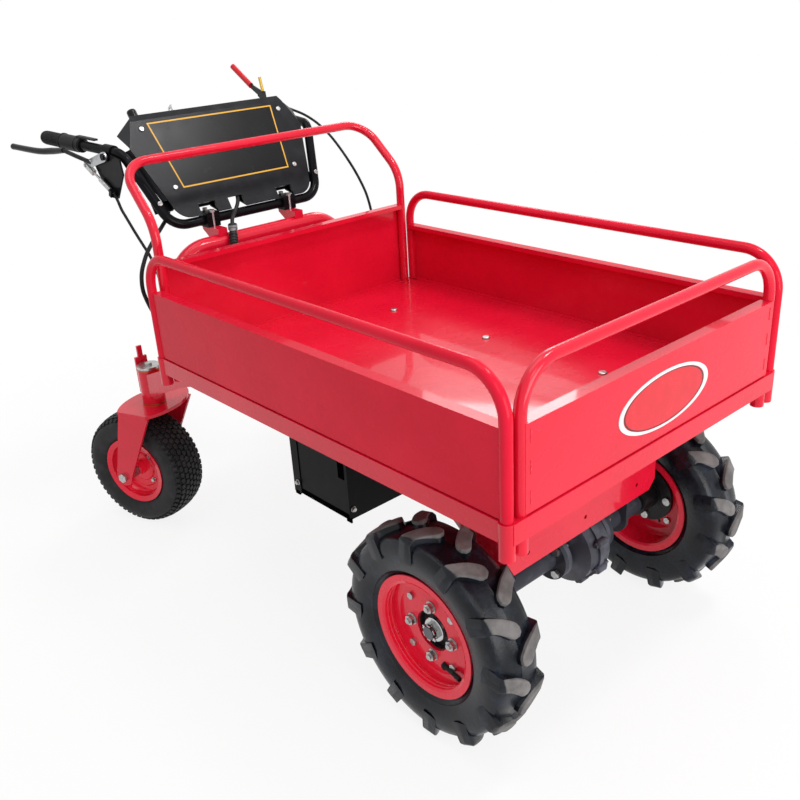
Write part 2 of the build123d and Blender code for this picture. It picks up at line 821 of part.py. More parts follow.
def drive_tyre():
    """Farm-tread tyre: a carcass and two rows of slanting lugs whose noses lead."""
    half = rim_seat_half - tyre_seat_gap
    seat = rim_seat_radius + tyre_seat_gap
    wide = carcass_half_width
    crown = carcass_radius
    flange = rim_flange_radius + 1.5
    bulge = (crown + flange) / 2 + 8
    outside = ((half, seat), (half, flange), (wide - 5, flange + 18), (wide, bulge),
               (wide - 5, crown - 7.5), (wide / 2, crown - 1.5), (0, crown))
    inside = ((half - tyre_wall, seat), (half - tyre_wall + 2, flange + 5),
              (wide - tyre_wall - 5, flange + 22), (wide - tyre_wall, bulge), (wide - tyre_wall - 5, crown - 15.5), (0, crown - tyre_wall))
    outline = list(outside) + [(-a, r) for a, r in reversed(outside[:-1])]
    outline += [(-a, r) for a, r in inside] + list(reversed(inside[:-1]))
    carcass = turned(outline)
    edge = tread_half_width
    top = drive_radius
    lug_root = ((edge, bulge - 5), (wide - tyre_wall / 2, bulge), (wide - tyre_wall, crown - 11.5),
                (0, crown - tyre_wall / 2))
    lug_crown = ((edge, top - 20), (edge - 10, top - 6), (0, top))
    outline = list(lug_root) + [(-a, r) for a, r in reversed(lug_root[:-1])]
    outline += [(-a, r) for a, r in lug_crown] + list(reversed(lug_crown[:-1]))
    envelope = turned(outline)
    nose = lug_width / 2 + lug_slant / 2
    plan = ((2, -nose - 7), (30, -nose + 11), (edge + 2, -nose + 21), (edge + 2, -nose + 21 + lug_foot_width),
            (26, -nose + 11 + lug_width), (-4, -nose + 11))
    lug = Pos(0, 0, top - 50) * extrude(make_face(Polyline(*plan, close=True)), 60)
    lug &= envelope
    step = 360.0 / lug_count
    lugs = [Rot(X=angle) * lug for angle in around(lug_count)]
    lugs += [Rot(X=angle) * other_side(lug) for angle in around(lug_count, step / 2)]
    return at_left_wheel(carcass + lugs)


def rim_half(side):
    """Outer (side 1) or inner (side -1) rim half about the wheel's middle plane."""
    seat = rim_seat_radius
    barrel = seat - rim_sheet
    half = rim_seat_half
    flange = rim_flange_radius
    face = rim_joint + side * rim_sheet
    near = rim_joint + side * (rim_sheet + 3)
    disc_edge = barrel - 16
    outline = ((rim_joint, rim_bore), (rim_joint, disc_edge + 2), (rim_joint + side * 1.5, seat),
               (side * half, seat), (side * (half + 0.5), flange), (side * (half + 4), flange),
               (side * (half + 3.5), seat + 2), (side * (half + 1), barrel), (near, barrel), (face, disc_edge),
               (face, rim_bore))
    rim = turned(outline)
    low, high = sorted((rim_joint, face))
    for radius, circle, first in ((stud_radius, stud_circle, 0), (rim_bolt_radius, rim_bolt_circle, 45)):
        for angle in around(wheel_bolt_count, first):
            y, z = on_circle(circle, angle)
            rim -= rod((low, y, z), (high, y, z), radius + bolt_clearance)
    return at_left_wheel(rim)


def drive_hub():
    """Flanged hub with the half shaft that runs into the gear case."""
    flange_face = rim_joint - rim_sheet
    flange_back = flange_face - hub_flange_thickness
    barrel_end = axle_tube_end + running_gap - wheel_half_track
    shaft_start = 2 - wheel_half_track
    outline = ((shaft_start, 0), (shaft_start, half_shaft_radius), (barrel_end + 2, half_shaft_radius),
               (barrel_end + 2, hub_barrel_radius), (flange_back, hub_barrel_radius),
               (flange_back, hub_flange_radius), (flange_face, hub_flange_radius),
               (flange_face, rim_bore - 2), (flange_face - hub_recess, rim_bore - 4),
               (flange_face - hub_recess, half_shaft_radius - 2), (shaft_end, half_shaft_radius - 2), (shaft_end, 0))
    hub = turned(outline)
    for angle in around(wheel_bolt_count):
        y, z = on_circle(stud_circle, angle)
        hub -= rod((flange_back, y, z), (flange_face, y, z), stud_radius + bolt_clearance)
    return at_left_wheel(hub)


def wheel_bolts():
    """Hub studs and nuts, rim bolts and nuts, axle washer and nut of the left wheel."""
    outer_face = rim_joint + rim_sheet
    inner_face = rim_joint - rim_sheet
    flange_back = inner_face - hub_flange_thickness
    pieces = []
    for angle in around(wheel_bolt_count):
        y, z = on_circle(stud_circle, angle)
        washer_face = outer_face + stud_washer
        stud = rod((flange_back, y, z), (outer_face + stud_end, y, z), stud_radius)
        stud += rod((flange_back - stud_head_height, y, z), (flange_back, y, z), stud_radius * 1.7)
        stud += rod((outer_face, y, z), (washer_face, y, z), stud_radius * 2.2)
        stud += hexagon_bar((washer_face, y, z), (washer_face + stud_nut_height, y, z), stud_radius * 1.9)
        pieces.append(stud)
    for angle in around(wheel_bolt_count, 45):
        y, z = on_circle(rim_bolt_circle, angle)
        head = rim_bolt_head_height
        bolt = rod((inner_face - head, y, z), (outer_face + head, y, z), rim_bolt_radius)
        bolt += hexagon_bar((inner_face - head, y, z), (inner_face, y, z), rim_bolt_radius * 1.8)
        bolt += hexagon_bar((outer_face, y, z), (outer_face + head, y, z), rim_bolt_radius * 1.8)
        pieces.append(bolt)
    seat = inner_face - hub_recess
    thread = half_shaft_radius - 2 + bolt_clearance
    nut_seat = seat + axle_washer
    nut = rod((seat, 0, 0), (nut_seat, 0, 0), axle_nut_radius + axle_washer)
    nut += hexagon_bar((nut_seat, 0, 0), (nut_seat + axle_nut_height, 0, 0), axle_nut_radius)
    nut -= rod((seat, 0, 0), (nut_seat + axle_nut_height, 0, 0), thread)
    return at_left_wheel(Compound(pieces + [nut]))


def flange_bolt_angles():
    """Angles of the gear case flange bolts."""
    return around(flange_bolt_count, 45)


def gear_case():
    """Differential case: a drum with a rib, a flanged neck at each end, a plug and the motor's neck."""
    right = -gear_case_right
    left = gear_case_left
    wall = case_flange_thickness
    drum = gear_case_radius
    neck = case_neck_radius
    drum_right = right + case_neck_length + case_cone
    drum_left = left - case_neck_length - case_cone
    split = (drum_right + drum_left) / 2
    rib = case_rib_width / 2
    right_end = ((right - wall, 0), (right - wall, case_flange_radius), (right, case_flange_radius),
                 (right, neck), (right + case_neck_length, neck), (drum_right, drum))
    middle = ((split - rib, drum), (split - rib, drum + case_rib), (split + rib, drum + case_rib),
              (split + rib, drum))
    left_end = ((drum_left, drum), (left - case_neck_length, neck), (left, neck),
                (left, case_flange_radius), (left + wall, case_flange_radius), (left + wall, 0))
    case = turned(right_end + middle + left_end)
    case += rod((motor_x, 0, 0), (motor_x, motor_neck_length, 0), motor_neck_radius)
    plug_x = (split + rib + drum_left) / 2
    plug_foot = on_circle(drum - case_rib, case_plug_angle)
    plug_face = on_circle(drum + case_rib, case_plug_angle)
    case += rod((plug_x, *plug_foot), (plug_x, *plug_face), case_plug_radius)
    case -= rod((plug_x, *on_circle(drum, case_plug_angle)), (plug_x, *plug_face), case_plug_radius / 2)
    case -= rod((right - wall, 0, 0), (left + wall, 0, 0), half_shaft_radius + running_gap)
    for angle in flange_bolt_angles():
        y, z = on_circle(flange_bolt_circle, angle)
        for x0, x1 in ((right - wall, right), (left, left + wall)):
            case -= rod((x0, y, z), (x1, y, z), flange_bolt_radius + bolt_clearance)
    return at_axle(case)


def axle_tube(side):
    """One axle tube with its flange and its hanger up to the chassis rail."""
    case_end = (gear_case_left if side > 0 else gear_case_right) + case_flange_thickness
    bore = axle_tube_radius - axle_tube_wall
    tube = rod((side * case_end, 0, 0), (side * axle_tube_end, 0, 0), axle_tube_radius)
    flange_end = side * (case_end + tube_flange_thickness)
    tube += rod((side * case_end, 0, 0), (flange_end, 0, 0), case_flange_radius)
    x0 = side * (hanger_x - hanger_thickness / 2)
    x1 = side * (hanger_x + hanger_thickness / 2)
    rail = frame_rail_bottom - drive_radius
    tube += block(x0, x1, -hanger_half_depth, hanger_half_depth, 0, rail)
    tube += rod((x0, 0, 0), (x1, 0, 0), hanger_half_depth)
    tube -= rod((side * case_end, 0, 0), (side * axle_tube_end, 0, 0), bore)
    for angle in flange_bolt_angles():
        y, z = on_circle(flange_bolt_circle, angle)
        tube -= rod((side * case_end, y, z), (flange_end, y, z), flange_bolt_radius + bolt_clearance)
    return at_axle(tube)


def axle_bearings():
    """Two bearings in each axle tube."""
    rings = []
    for s in (-1, 1):
        for end in (axle_tube_end, axle_tube_end - 3 * bearing_width):
            ring = sleeve((s * end, 0, 0), (s * (end - bearing_width), 0, 0),
                          axle_tube_radius - axle_tube_wall, half_shaft_radius + bearing_fit)
            rings.append(at_axle(ring))
    return Compound(rings)


def flange_bolts():
    """Bolts with heads and nuts through the gear case and axle tube flanges."""
    bolts = []
    for s, case in ((-1, gear_case_right), (1, gear_case_left)):
        inner = s * case
        outer = s * (case + case_flange_thickness + tube_flange_thickness)
        for angle in flange_bolt_angles():
            y, z = on_circle(flange_bolt_circle, angle)
            bolt = rod((inner - s * flange_bolt_head_height, y, z), (outer, y, z), flange_bolt_radius)
            bolt += hexagon_bar((outer, y, z), (outer + s * flange_bolt_head_height, y, z), flange_bolt_head)
            bolts.append(at_axle(bolt))
    return bolts


def drive_motor():
    """Electric motor behind the gear case: a flanged can with a groove and an end cap."""
    start = motor_neck_length
    end = start + motor_length
    motor = rod((motor_x, start, 0), (motor_x, end, 0), motor_radius)
    motor += rod((motor_x, start, 0), (motor_x, start + motor_flange_thickness, 0),
                 motor_radius + motor_flange_rise)
    motor += rod((motor_x, end, 0), (motor_x, end + motor_cap_length, 0), motor_radius - motor_cap_inset)
    groove = end - motor_groove_back
    motor -= sleeve((motor_x, groove, 0), (motor_x, groove + motor_groove_width, 0),
                    motor_radius + motor_groove_depth, motor_radius - motor_groove_depth)
    return at_axle(motor)


# Battery box and controller

def battery_box():
    """Open-topped sheet box under the rails with an upright strip at each rear corner."""
    top = frame_rail_bottom
    bottom = top - box_depth
    t = box_sheet
    box = block(-box_half_width, box_half_width, box_front, box_rear, bottom, top)
    box -= block(-box_half_width + t, box_half_width - t, box_front + t, box_rear - t, bottom + t, top)
    for s in (-1, 1):
        box += block(s * box_half_width, s * (box_half_width + t), box_rear - box_strip, box_rear + t,
                     bottom, top)
    return box


def batteries():
    """Row of four sealed batteries on the floor of the box."""
    floor = frame_rail_bottom - box_depth + box_sheet
    middle = (box_front + box_rear) / 2
    cells = []
    for i in range(battery_count):
        x = (i - (battery_count - 1) / 2) * battery_pitch
        cell = block(x - battery_width / 2, x + battery_width / 2, middle - battery_length / 2,
                     middle + battery_length / 2, floor, floor + battery_height)
        top = floor + battery_height
        for s in (-1, 1):
            y = middle + s * battery_length / 3
            cell += rod((x, y, top), (x, y, top + battery_post_height), battery_post)
        cells.append(cell)
    return Compound(cells)


def motor_controller():
    """Finned controller bolted under the rear cross bar."""
    middle = floor_bolt_rows[-1]
    y0 = middle - controller_length / 2
    y1 = middle + controller_length / 2
    half = controller_half_width
    bottom = bed_underside - controller_height
    case = block(-half, half, y0, y1, bottom, bed_underside)
    pitch = 2 * half / controller_fins
    for i in range(controller_fins):
        x = -half + (i + 0.5) * pitch
        case -= block(x - pitch / 4, x + pitch / 4, y0, y1, bottom, bottom + controller_fin_depth)
    return case


# Handlebar

def bar_top(side):
    """The bend between a side tube and its handle."""
    return Vector(side * bar_top_half_width, bar_y + bar_top_back, bar_height + bar_top_rise)


def handle_axis(side):
    """Unit vector along a handle, towards its free end."""
    return Vector(side * handle_out, handle_back, handle_rise) / handle_length


def along_handle(side, distance):
    """A point on a handle's axis."""
    return bar_top(side) + handle_axis(side) * distance


def handlebar_arch():
    """Arch tube on the rear beam with two saddle lugs."""
    half = arch_half_width
    points = ((-half, arch_y, beam_top), (-half, arch_y, arch_height), (half, arch_y, arch_height),
              (half, arch_y, beam_top))
    arch = bent_bar(points, (arch_bend, arch_bend), Circle(arch_radius))
    for s in (-1, 1):
        x0 = s * (lug_half_track - saddle_width / 2)
        x1 = s * (lug_half_track + saddle_width / 2)
        outline = ((arch_y - saddle_front, arch_height), (arch_y + saddle_front, arch_height),
                   (arch_y + saddle_rear, saddle_top - saddle_nose), (arch_y + saddle_rear, saddle_top),
                   (arch_y - saddle_front, saddle_top))
        arch += upright_plate(outline, x0, x1)
    return arch


def clamp_bolt_places():
    """Centres (x, y) of the clamp bolts."""
    reach = bar_radius + clamp_bolt_radius + 0.8
    return [(s * lug_half_track, bar_y + end * reach) for s in (-1, 1) for end in (-1, 1)]


def bar_clamps():
    """Two split clamps: a lower block and a cap on each saddle lug."""
    pieces = []
    for s in (-1, 1):
        x0 = s * (lug_half_track - clamp_width / 2)
        x1 = s * (lug_half_track + clamp_width / 2)
        y0 = bar_y - clamp_half_depth
        y1 = bar_y + clamp_half_depth
        lower = block(x0, x1, y0, y1, saddle_top, bar_height - running_gap)
        cap = block(x0, x1, y0, y1, bar_height + running_gap, bar_height + clamp_cap)
        bore = rod((x0, bar_y, bar_height), (x1, bar_y, bar_height), bar_radius + sleeve_fit)
        for piece in (lower - bore, cap - bore):
            for x, y in clamp_bolt_places():
                piece -= rod((x, y, saddle_top), (x, y, bar_height + clamp_cap),
                             clamp_bolt_radius + bolt_clearance)
            pieces.append(piece)
    return Compound(pieces)


def clamp_bolts():
    """Bolts that draw the clamp caps down."""
    bolts = []
    head = bar_height + clamp_cap
    for x, y in clamp_bolt_places():
        bolt = rod((x, y, saddle_top + running_gap), (x, y, head), clamp_bolt_radius)
        bolt += hexagon_bar((x, y, head), (x, y, head + clamp_bolt_head_height), clamp_bolt_head)
        bolts.append(bolt)
    return bolts


def handlebar():
    """One bent tube: lower bar, two flaring side tubes and two handles."""
    low_left = (bar_half_width, bar_y, bar_height)
    low_right = (-bar_half_width, bar_y, bar_height)
    points = (along_handle(1, handle_length), bar_top(1), low_left, low_right, bar_top(-1),
              along_handle(-1, handle_length))
    bends = (bar_top_bend, bar_corner_bend, bar_corner_bend, bar_top_bend)
    bar = bent_bar(points, bends, Circle(bar_radius))
    for s in (-1, 1):
        bar -= rod(along_handle(s, handle_length), along_handle(s, handle_length - stake_bore_depth),
                   bar_radius - stake_wall)
        bar -= console_place * ear_bolt_hole(s)
    return bar


# Console, drawn on its own plane through the lower bar, leaning a little further back than the side
# tubes: x across, y up the slope, z out of the face

console_place = Plane(origin=(0, bar_y, bar_height), x_dir=(1, 0, 0),
                      z_dir=(0, -cos(console_lean), sin(console_lean))).location


def side_tube_x(v):
    """Distance of a side tube's axis from the middle at a height on the slope."""
    return bar_half_width + (bar_top_half_width - bar_half_width) * v / slope_length


def side_tube_w(v):
    """How far a side tube's axis lies in front of the console's plane at a height on the slope."""
    return v * tan(radians(console_tilt))


def plate_half(v):
    """Half width of the face plate at a height below its hips."""
    share = (v - console_bottom) / (plate_hip[1] - console_bottom)
    return plate_foot_half + (plate_hip[0] - plate_foot_half) * share


def ear_tab_front():
    """Front of the ear tabs, just behind the side tubes."""
    return side_tube_w(console_ear_v - console_ear_height / 2) - bar_radius - console_ear_gap


def ear_bolt_hole(side):
    """Hole for the bolt that holds a console ear behind its side tube."""
    x = side * side_tube_x(console_ear_v)
    front = side_tube_w(console_ear_v) + 2 * bar_radius
    return rod((x, console_ear_v, front), (x, console_ear_v, ear_tab_front() - 2 * console_plate),
               screw_radius + bolt_clearance)


def console_profile():
    """Side outline of the console, as (y, z) points on the console's own plane."""
    return ((console_bottom, face_front), (console_face_top, face_front), console_ridge, console_rear,
            console_waist, console_heel)


def flat_outline(points, corner):
    """A face between a half outline of (x, y) points and its mirror image, with round lower corners."""
    mirrored = [(-x, y) for x, y in reversed(points)]
    face = make_face(Polyline(*points, *mirrored, close=True))
    return fillet(face.vertices().group_by(Axis.Y)[0], corner)


def console_form(points, corner):
    """The console's side outline as one solid, trimmed to an outline seen from the front."""
    solid = upright_plate(console_profile(), -bed_width, bed_width)
    return solid & Pos(0, 0, -slope_length) * extrude(flat_outline(points, corner), 2 * slope_length)


def wall_sheet(corners):
    """A flat sheet through its corners, as thick as the console's wall."""
    return extrude(make_face(Polyline(*corners, close=True)), console_wall / 2, both=True)


def console_wing(side):
    """Upper corner of the face plate, folded back, and the fold down the plate's edge."""
    middle = (face_back + face_front) / 2
    inset = console_wall
    brow = Vector(side * (plate_brow_half - inset), console_ridge[0] - inset,
                  console_ridge[1] - console_wall / 2)
    hip = Vector(side * (plate_hip[0] - inset), plate_hip[1], middle)
    tip = Vector(side * wing_tip[0], wing_tip[1], wing_tip[2])
    foot = Vector(side * (plate_half(edge_fold_start) - inset), edge_fold_start, middle)
    behind = Vector(side * (edge_fold + inset), 0, -edge_fold - inset)
    return wall_sheet((brow, tip, hip)) + wall_sheet((hip, foot, foot + behind, hip + behind))


def console_notches():
    """Cuts in the console's lower edge over the clamps and for the wiring loom."""
    places = ((-lug_half_track, console_notch_width), (lug_half_track, console_notch_width),
              (loom_notch_x, loom_notch_width))
    return [block(x - width / 2, x + width / 2, 0, console_notch_top,
                  -console_notch_depth, console_notch_depth) for x, width in places]


def console_front():
    """Face plate with folded wings and two ears that are bolted behind the side tubes."""
    slab = block(-bed_width, bed_width, -bed_width, bed_width, face_back, face_front)
    outline = ((plate_foot_half, console_bottom), plate_hip, (plate_brow_half, console_ridge[0]))
    plate = console_form(outline, plate_corner) & slab
    for cut in console_notches():
        plate -= cut
    low = console_ear_v - console_ear_height / 2
    high = console_ear_v + console_ear_height / 2
    tab_front = ear_tab_front()
    tab_back = tab_front - console_plate
    for s in (-1, 1):
        plate += console_wing(s)
        inner = s * (plate_half(low) - console_ear_inset)
        outer = s * (side_tube_x(console_ear_v) + console_ear_reach)
        plate += block(inner, inner + s * console_plate, low, high, tab_back, face_front)
        plate += block(inner, outer, low, high, tab_back, tab_front)
        plate -= ear_bolt_hole(s)
        for u, v in screw_places:
            plate -= rod((s * u, v, face_back), (s * u, v, face_front), screw_radius + bolt_clearance)
    return console_place * plate


def console_back():
    """Housing behind the face plate, open at the front, with the instrument panel on top."""
    slab = block(-bed_width, bed_width, -bed_width, bed_width, face_back, face_front)
    outline = ((console_low_half, console_bottom), (console_top_half, console_ridge[0]))
    housing = console_form(outline, console_corner) - slab
    inside = make_face(Polyline(*console_profile(), close=True))
    inside = offset(inside, -console_wall, kind=Kind.INTERSECTION)
    half = console_low_half - console_wall
    cavity = extrude(Plane.YZ.offset(-half) * inside, 2 * half)
    housing -= cavity & block(-half, half, -bed_width, bed_width, -bed_width, face_back - console_wall)
    housing -= block(-console_window_half, console_window_half, console_notch_top + console_window_margin,
                     console_face_top - console_window_margin, face_back - 2 * console_wall, face_back)
    housing += cable_gland() - cavity
    for cut in console_notches():
        housing -= cut
    housing -= block(loom_notch_x - loom_notch_width / 2, loom_notch_x + loom_notch_width / 2,
                     0, console_notch_top + 2 * loom_radius, -console_notch_depth, face_back)
    for s in (-1, 1):
        for u, v in screw_places:
            housing -= rod((s * u, v, face_back - screw_length), (s * u, v, face_back),
                           screw_radius + bolt_clearance)
    for cut in instrument_holes():
        housing -= instrument_place * cut
    return console_place * housing


def cable_gland():
    """Block on the console's back under which the power cable leaves."""
    return block(gland_x - gland_half, gland_x + gland_half, gland_v, gland_v + gland_length,
                 gland_back, console_heel[1])


def domed_screw(u, v, seat, length):
    """A screw with a domed head that stands on a seat and runs into the console."""
    head = rod((u, v, seat), (u, v, seat + screw_head_height), screw_head)
    head = fillet(head.edges().group_by(Axis.Z)[-1], screw_head_height * 0.6)
    return head + rod((u, v, seat - length), (u, v, seat), screw_radius)


def console_screws():
    """Four face screws, and two ear bolts through the side tubes with nuts behind the ears."""
    screws = []
    ear_seat = side_tube_w(console_ear_v + screw_head) + bar_radius + console_ear_gap
    tab_back = ear_tab_front() - console_plate
    nut_end = tab_back - ear_nut_height
    for s in (-1, 1):
        for u, v in screw_places:
            screws.append(console_place * domed_screw(s * u, v, face_front, screw_length - console_plate))
        ear_x = s * side_tube_x(console_ear_v)
        bolt = domed_screw(ear_x, console_ear_v, ear_seat, ear_seat - nut_end)
        bolt += hexagon_bar((ear_x, console_ear_v, tab_back), (ear_x, console_ear_v, nut_end), ear_nut_radius)
        screws.append(console_place * bolt)
    return Compound(screws)


# Instruments, drawn on the console's own plane and on its top panel

panel_run = (console_rear[0] - console_ridge[0], console_rear[1] - console_ridge[1])
panel_middle = (0, console_ridge[0] + panel_run[0] / 2, console_ridge[1] + panel_run[1] / 2)
instrument_place = Plane(origin=panel_middle, x_dir=(1, 0, 0),
                         z_dir=(0, -panel_run[1], panel_run[0])).location


def on_panel(shape):
    """Moves a piece drawn on the instrument panel into the machine."""
    return console_place * instrument_place * shape


def instrument_holes():
    """Cut-outs in the instrument panel."""
    depth = knob_spindle_depth + console_wall
    half_w = gauge_width / 2 - gauge_body_inset + panel_fit
    half_h = gauge_height / 2 - gauge_body_inset + panel_fit
    return [
        block(gauge_x - half_w, gauge_x + half_w, -half_h, half_h, -depth, console_wall),
        rod((key_x, 0, -depth), (key_x, 0, console_wall), key_barrel_radius + panel_fit),
        rod((knob_x, -knob_forward, -depth), (knob_x, -knob_forward, console_wall), knob_spindle + panel_fit),
    ]


def battery_gauge():
    """Charge gauge: a flat bezel with its body behind the panel."""
    half_w = gauge_width / 2
    half_h = gauge_height / 2
    bezel = block(gauge_x - half_w, gauge_x + half_w, -half_h, half_h, 0, gauge_bezel)
    rim = gauge_body_inset
    bezel -= block(gauge_x - half_w + rim, gauge_x + half_w - rim, -half_h + rim, half_h - rim,
                   gauge_bezel / 2, gauge_bezel)
    bezel += block(gauge_x - half_w + rim, gauge_x + half_w - rim, -half_h + rim, half_h - rim,
                   -gauge_depth, 0)
    return on_panel(bezel)


def key_switch():
    """Switch barrel with a bezel ring and a round keyway."""
    barrel = rod((key_x, 0, -key_barrel_depth), (key_x, 0, 0), key_barrel_radius)
    barrel += rod((key_x, 0, 0), (key_x, 0, key_bezel_height), key_bezel_radius)
    barrel -= rod((key_x, 0, key_bezel_height - key_plug_depth), (key_x, 0, key_bezel_height),
                  key_plug_radius + panel_fit)
    return on_panel(barrel)


def ignition_key():
    """Key plug with a flat bow."""
    foot = key_bezel_height - key_plug_depth + panel_fit
    key = rod((key_x, 0, foot), (key_x, 0, key_bezel_height + 2), key_plug_radius)
    half = key_bow_thickness / 2
    bow = block(key_x - half, key_x + half, -key_bow_width / 2, key_bow_width / 2,
                key_bezel_height + 2, key_bezel_height + 2 + key_bow_height)
    bow = fillet(bow.edges().filter_by(Axis.X), key_bow_width / 4)
    hole = key_bezel_height + 2 + key_bow_height * 0.7
    bow -= rod((key_x - half, 0, hole), (key_x + half, 0, hole), key_bow_width / 6)
    return on_panel(key + bow)


def direction_knob():
    """Turning knob for forwards and backwards, near the ridge of the panel."""
    y = -knob_forward
    knob = rod((knob_x, y, panel_fit), (knob_x, y, knob_height), knob_radius)
    knob = fillet(knob.edges().group_by(Axis.Z)[-1], knob_radius * 0.45)
    knob += rod((knob_x, y, -knob_spindle_depth), (knob_x, y, knob_height / 2), knob_spindle)
    return on_panel(knob)


# Hand controls

def handle_sleeve(side, start, end, radius, bore):
    """A sleeve round a handle between two distances along it."""
    return sleeve(along_handle(side, start), along_handle(side, end), radius, bore)


def handle_bore(side, start, end):
    """Room for the handle in a clamp, running on past both ends of the clamp."""
    past = bracket_ring_length / 2
    return rod(along_handle(side, start - past), along_handle(side, end + past), bar_radius + sleeve_fit)


def handle_grips():
    """Two rubber grips closed at their free ends."""
    grips = []
    bore = bar_radius + sleeve_fit
    for s in (-1, 1):
        grip = rod(along_handle(s, grip_start), along_handle(s, handle_length + grip_cap), grip_radius)
        grip = fillet(grip.edges().group_by(Axis.Y)[-1], grip_radius * 0.3)
        grip -= rod(along_handle(s, grip_start), along_handle(s, handle_length), bore)
        grips.append(grip)
    return Compound(grips)


def throttle_body():
    """Throttle housing clamped round the right handle."""
    bore = bar_radius + sleeve_fit
    return handle_sleeve(-1, throttle_start, grip_start - running_gap, throttle_radius, bore)


def throttle_lever():
    """Thumb lever: a ring round the handle with a paddle that points forwards."""
    ring_end = throttle_start - throttle_ring_gap
    ring_start = ring_end - throttle_ring_length
    lever = handle_sleeve(-1, ring_start, ring_end, throttle_ring_radius, bar_radius + throttle_ring_gap)
    place = Plane(origin=along_handle(-1, ring_end), x_dir=(1, 0, 0), z_dir=-handle_axis(-1))
    up = 1 if (place.y_dir.Z > 0) else -1
    half = throttle_paddle_width / 2
    y0 = up * (throttle_paddle_height - throttle_paddle_thickness)
    y1 = up * throttle_paddle_height
    stem = block(-half, half, up * (bar_radius + 2), y1, 0, throttle_ring_length)
    paddle = block(-half, half, y0, y1, 0, throttle_ring_length + throttle_paddle_length)
    return lever + place.location * (stem + paddle)


def from_bar(point):
    """Turns a (back, up) pair from the lower bar's axis into (y, z)."""
    return (bar_y + point[0], bar_height + point[1])


def brake_bracket():
    """Plate hung from the right handle: lever pivot above, rod guide below."""
    ring_end = bracket_ring_start + bracket_ring_length
    bracket = rod(along_handle(-1, bracket_ring_start), along_handle(-1, ring_end), bracket_ring_radius)
    pivot = from_bar(lever_pivot)
    guide = from_bar(rod_guide)
    flat = -lever_plane_x + lever_plate / 2 + bracket_flat_gap
    bracket -= block(-bed_width, flat, 0, 2 * bed_length, 0, 2 * bar_height)
    outline = [(guide[0] + dy, guide[1] + dz) for dy, dz in bracket_outline]
    outer = -bracket_plate_x
    bracket += upright_plate(outline, outer, outer + bracket_plate)
    shoulder = -lever_plane_x + lever_plate / 2 + running_gap
    head = -lever_plane_x - lever_plate / 2 - running_gap
    bracket += rod((outer, *pivot), (shoulder, *pivot), pivot_head)
    bracket += rod((outer, *pivot), (head, *pivot), pivot_radius)
    bracket += rod((head, *pivot), (head - pivot_head_height, *pivot), pivot_head)
    guide_reach = lever_plane_x - bracket_plate_x + bracket_plate
    bracket += rod_place() * block(-guide_half, guide_reach, -guide_half, guide_half,
                                   rod_length() - guide_thickness / 2, rod_length() + guide_thickness / 2)
    bracket -= handle_bore(-1, bracket_ring_start, ring_end)
    bracket -= rod_place() * rod((0, 0, rod_length() - guide_thickness), (0, 0, rod_length() + guide_thickness),
                                 guide_hole)
    return bracket


def rod_length():
    """Length of the brake rod from its pin to the middle of its guide."""
    return hypot(lever_eye[0] - rod_guide[0], lever_eye[1] - rod_guide[1])


def rod_place():
    """Place of the brake rod: its pin at the origin and its length along +Z."""
    start = Vector(-lever_plane_x, *from_bar(lever_eye))
    end = Vector(-lever_plane_x, *from_bar(rod_guide))
    return Plane(origin=start, x_dir=(1, 0, 0), z_dir=end - start).location


def brake_rod():
    """Forked rod with a pin and an adjusting barrel."""
    inner = lever_plate / 2 + fork_cheek_gap
    outer = inner + fork_cheek
    half = fork_cheek_half
    base = fork_cheek_length
    fork = block(-outer, outer, -half, half, -half, base + 6)
    fork -= block(-inner, inner, -half, half, -half, base)
    fork += rod((-outer - 2, 0, 0), (outer + 2, 0, 0), rod_pin_radius)
    fork += rod((0, 0, base + 3), (0, 0, rod_length()), rod_radius)
    fork += rod((0, 0, rod_barrel_start), (0, 0, rod_barrel_end), rod_barrel_radius)
    return rod_place() * fork


def brake_lever():
    """Lever plate from the pivot to the rod's eye, with a bent blade beside the grip."""
    pivot = from_bar(lever_pivot)
    eye = from_bar(lever_eye)
    x0 = -lever_plane_x - lever_plate / 2
    x1 = -lever_plane_x + lever_plate / 2
    reach = Vector(0, eye[0] - pivot[0], eye[1] - pivot[1])
    across = Vector(0, -reach.Z, reach.Y) / reach.length
    corners = []
    for centre, radius in ((pivot, lever_hub), (eye, lever_eye_radius)):
        corners.append((centre[0] + across.Y * radius, centre[1] + across.Z * radius))
        corners.append((centre[0] - across.Y * radius, centre[1] - across.Z * radius))
    outline = (corners[0], corners[2], corners[3], corners[1])
    lever = upright_plate(outline, x0, x1)
    lever += rod((x0, *pivot), (x1, *pivot), lever_hub)
    lever += rod((x0, *eye), (x1, *eye), lever_eye_radius)
    blade = bent_bar(blade_points(), blade_bends, Ellipse(blade_width, blade_height))
    lever += blade
    lever += Pos(*blade_points()[-1]) * Sphere(blade_ball)
    lever -= rod((x0, *pivot), (x1, *pivot), pivot_radius + pivot_fit)
    lever -= rod((x0, *eye), (x1, *eye), rod_pin_radius + pivot_fit)
    return lever


def blade_points():
    """Line of the brake lever's blade, from the lever plate to its ball end."""
    pivot = from_bar(lever_pivot)
    return [(-lever_plane_x + dx, pivot[0] + dy, pivot[1] + dz) for dx, dy, dz in blade_steps]



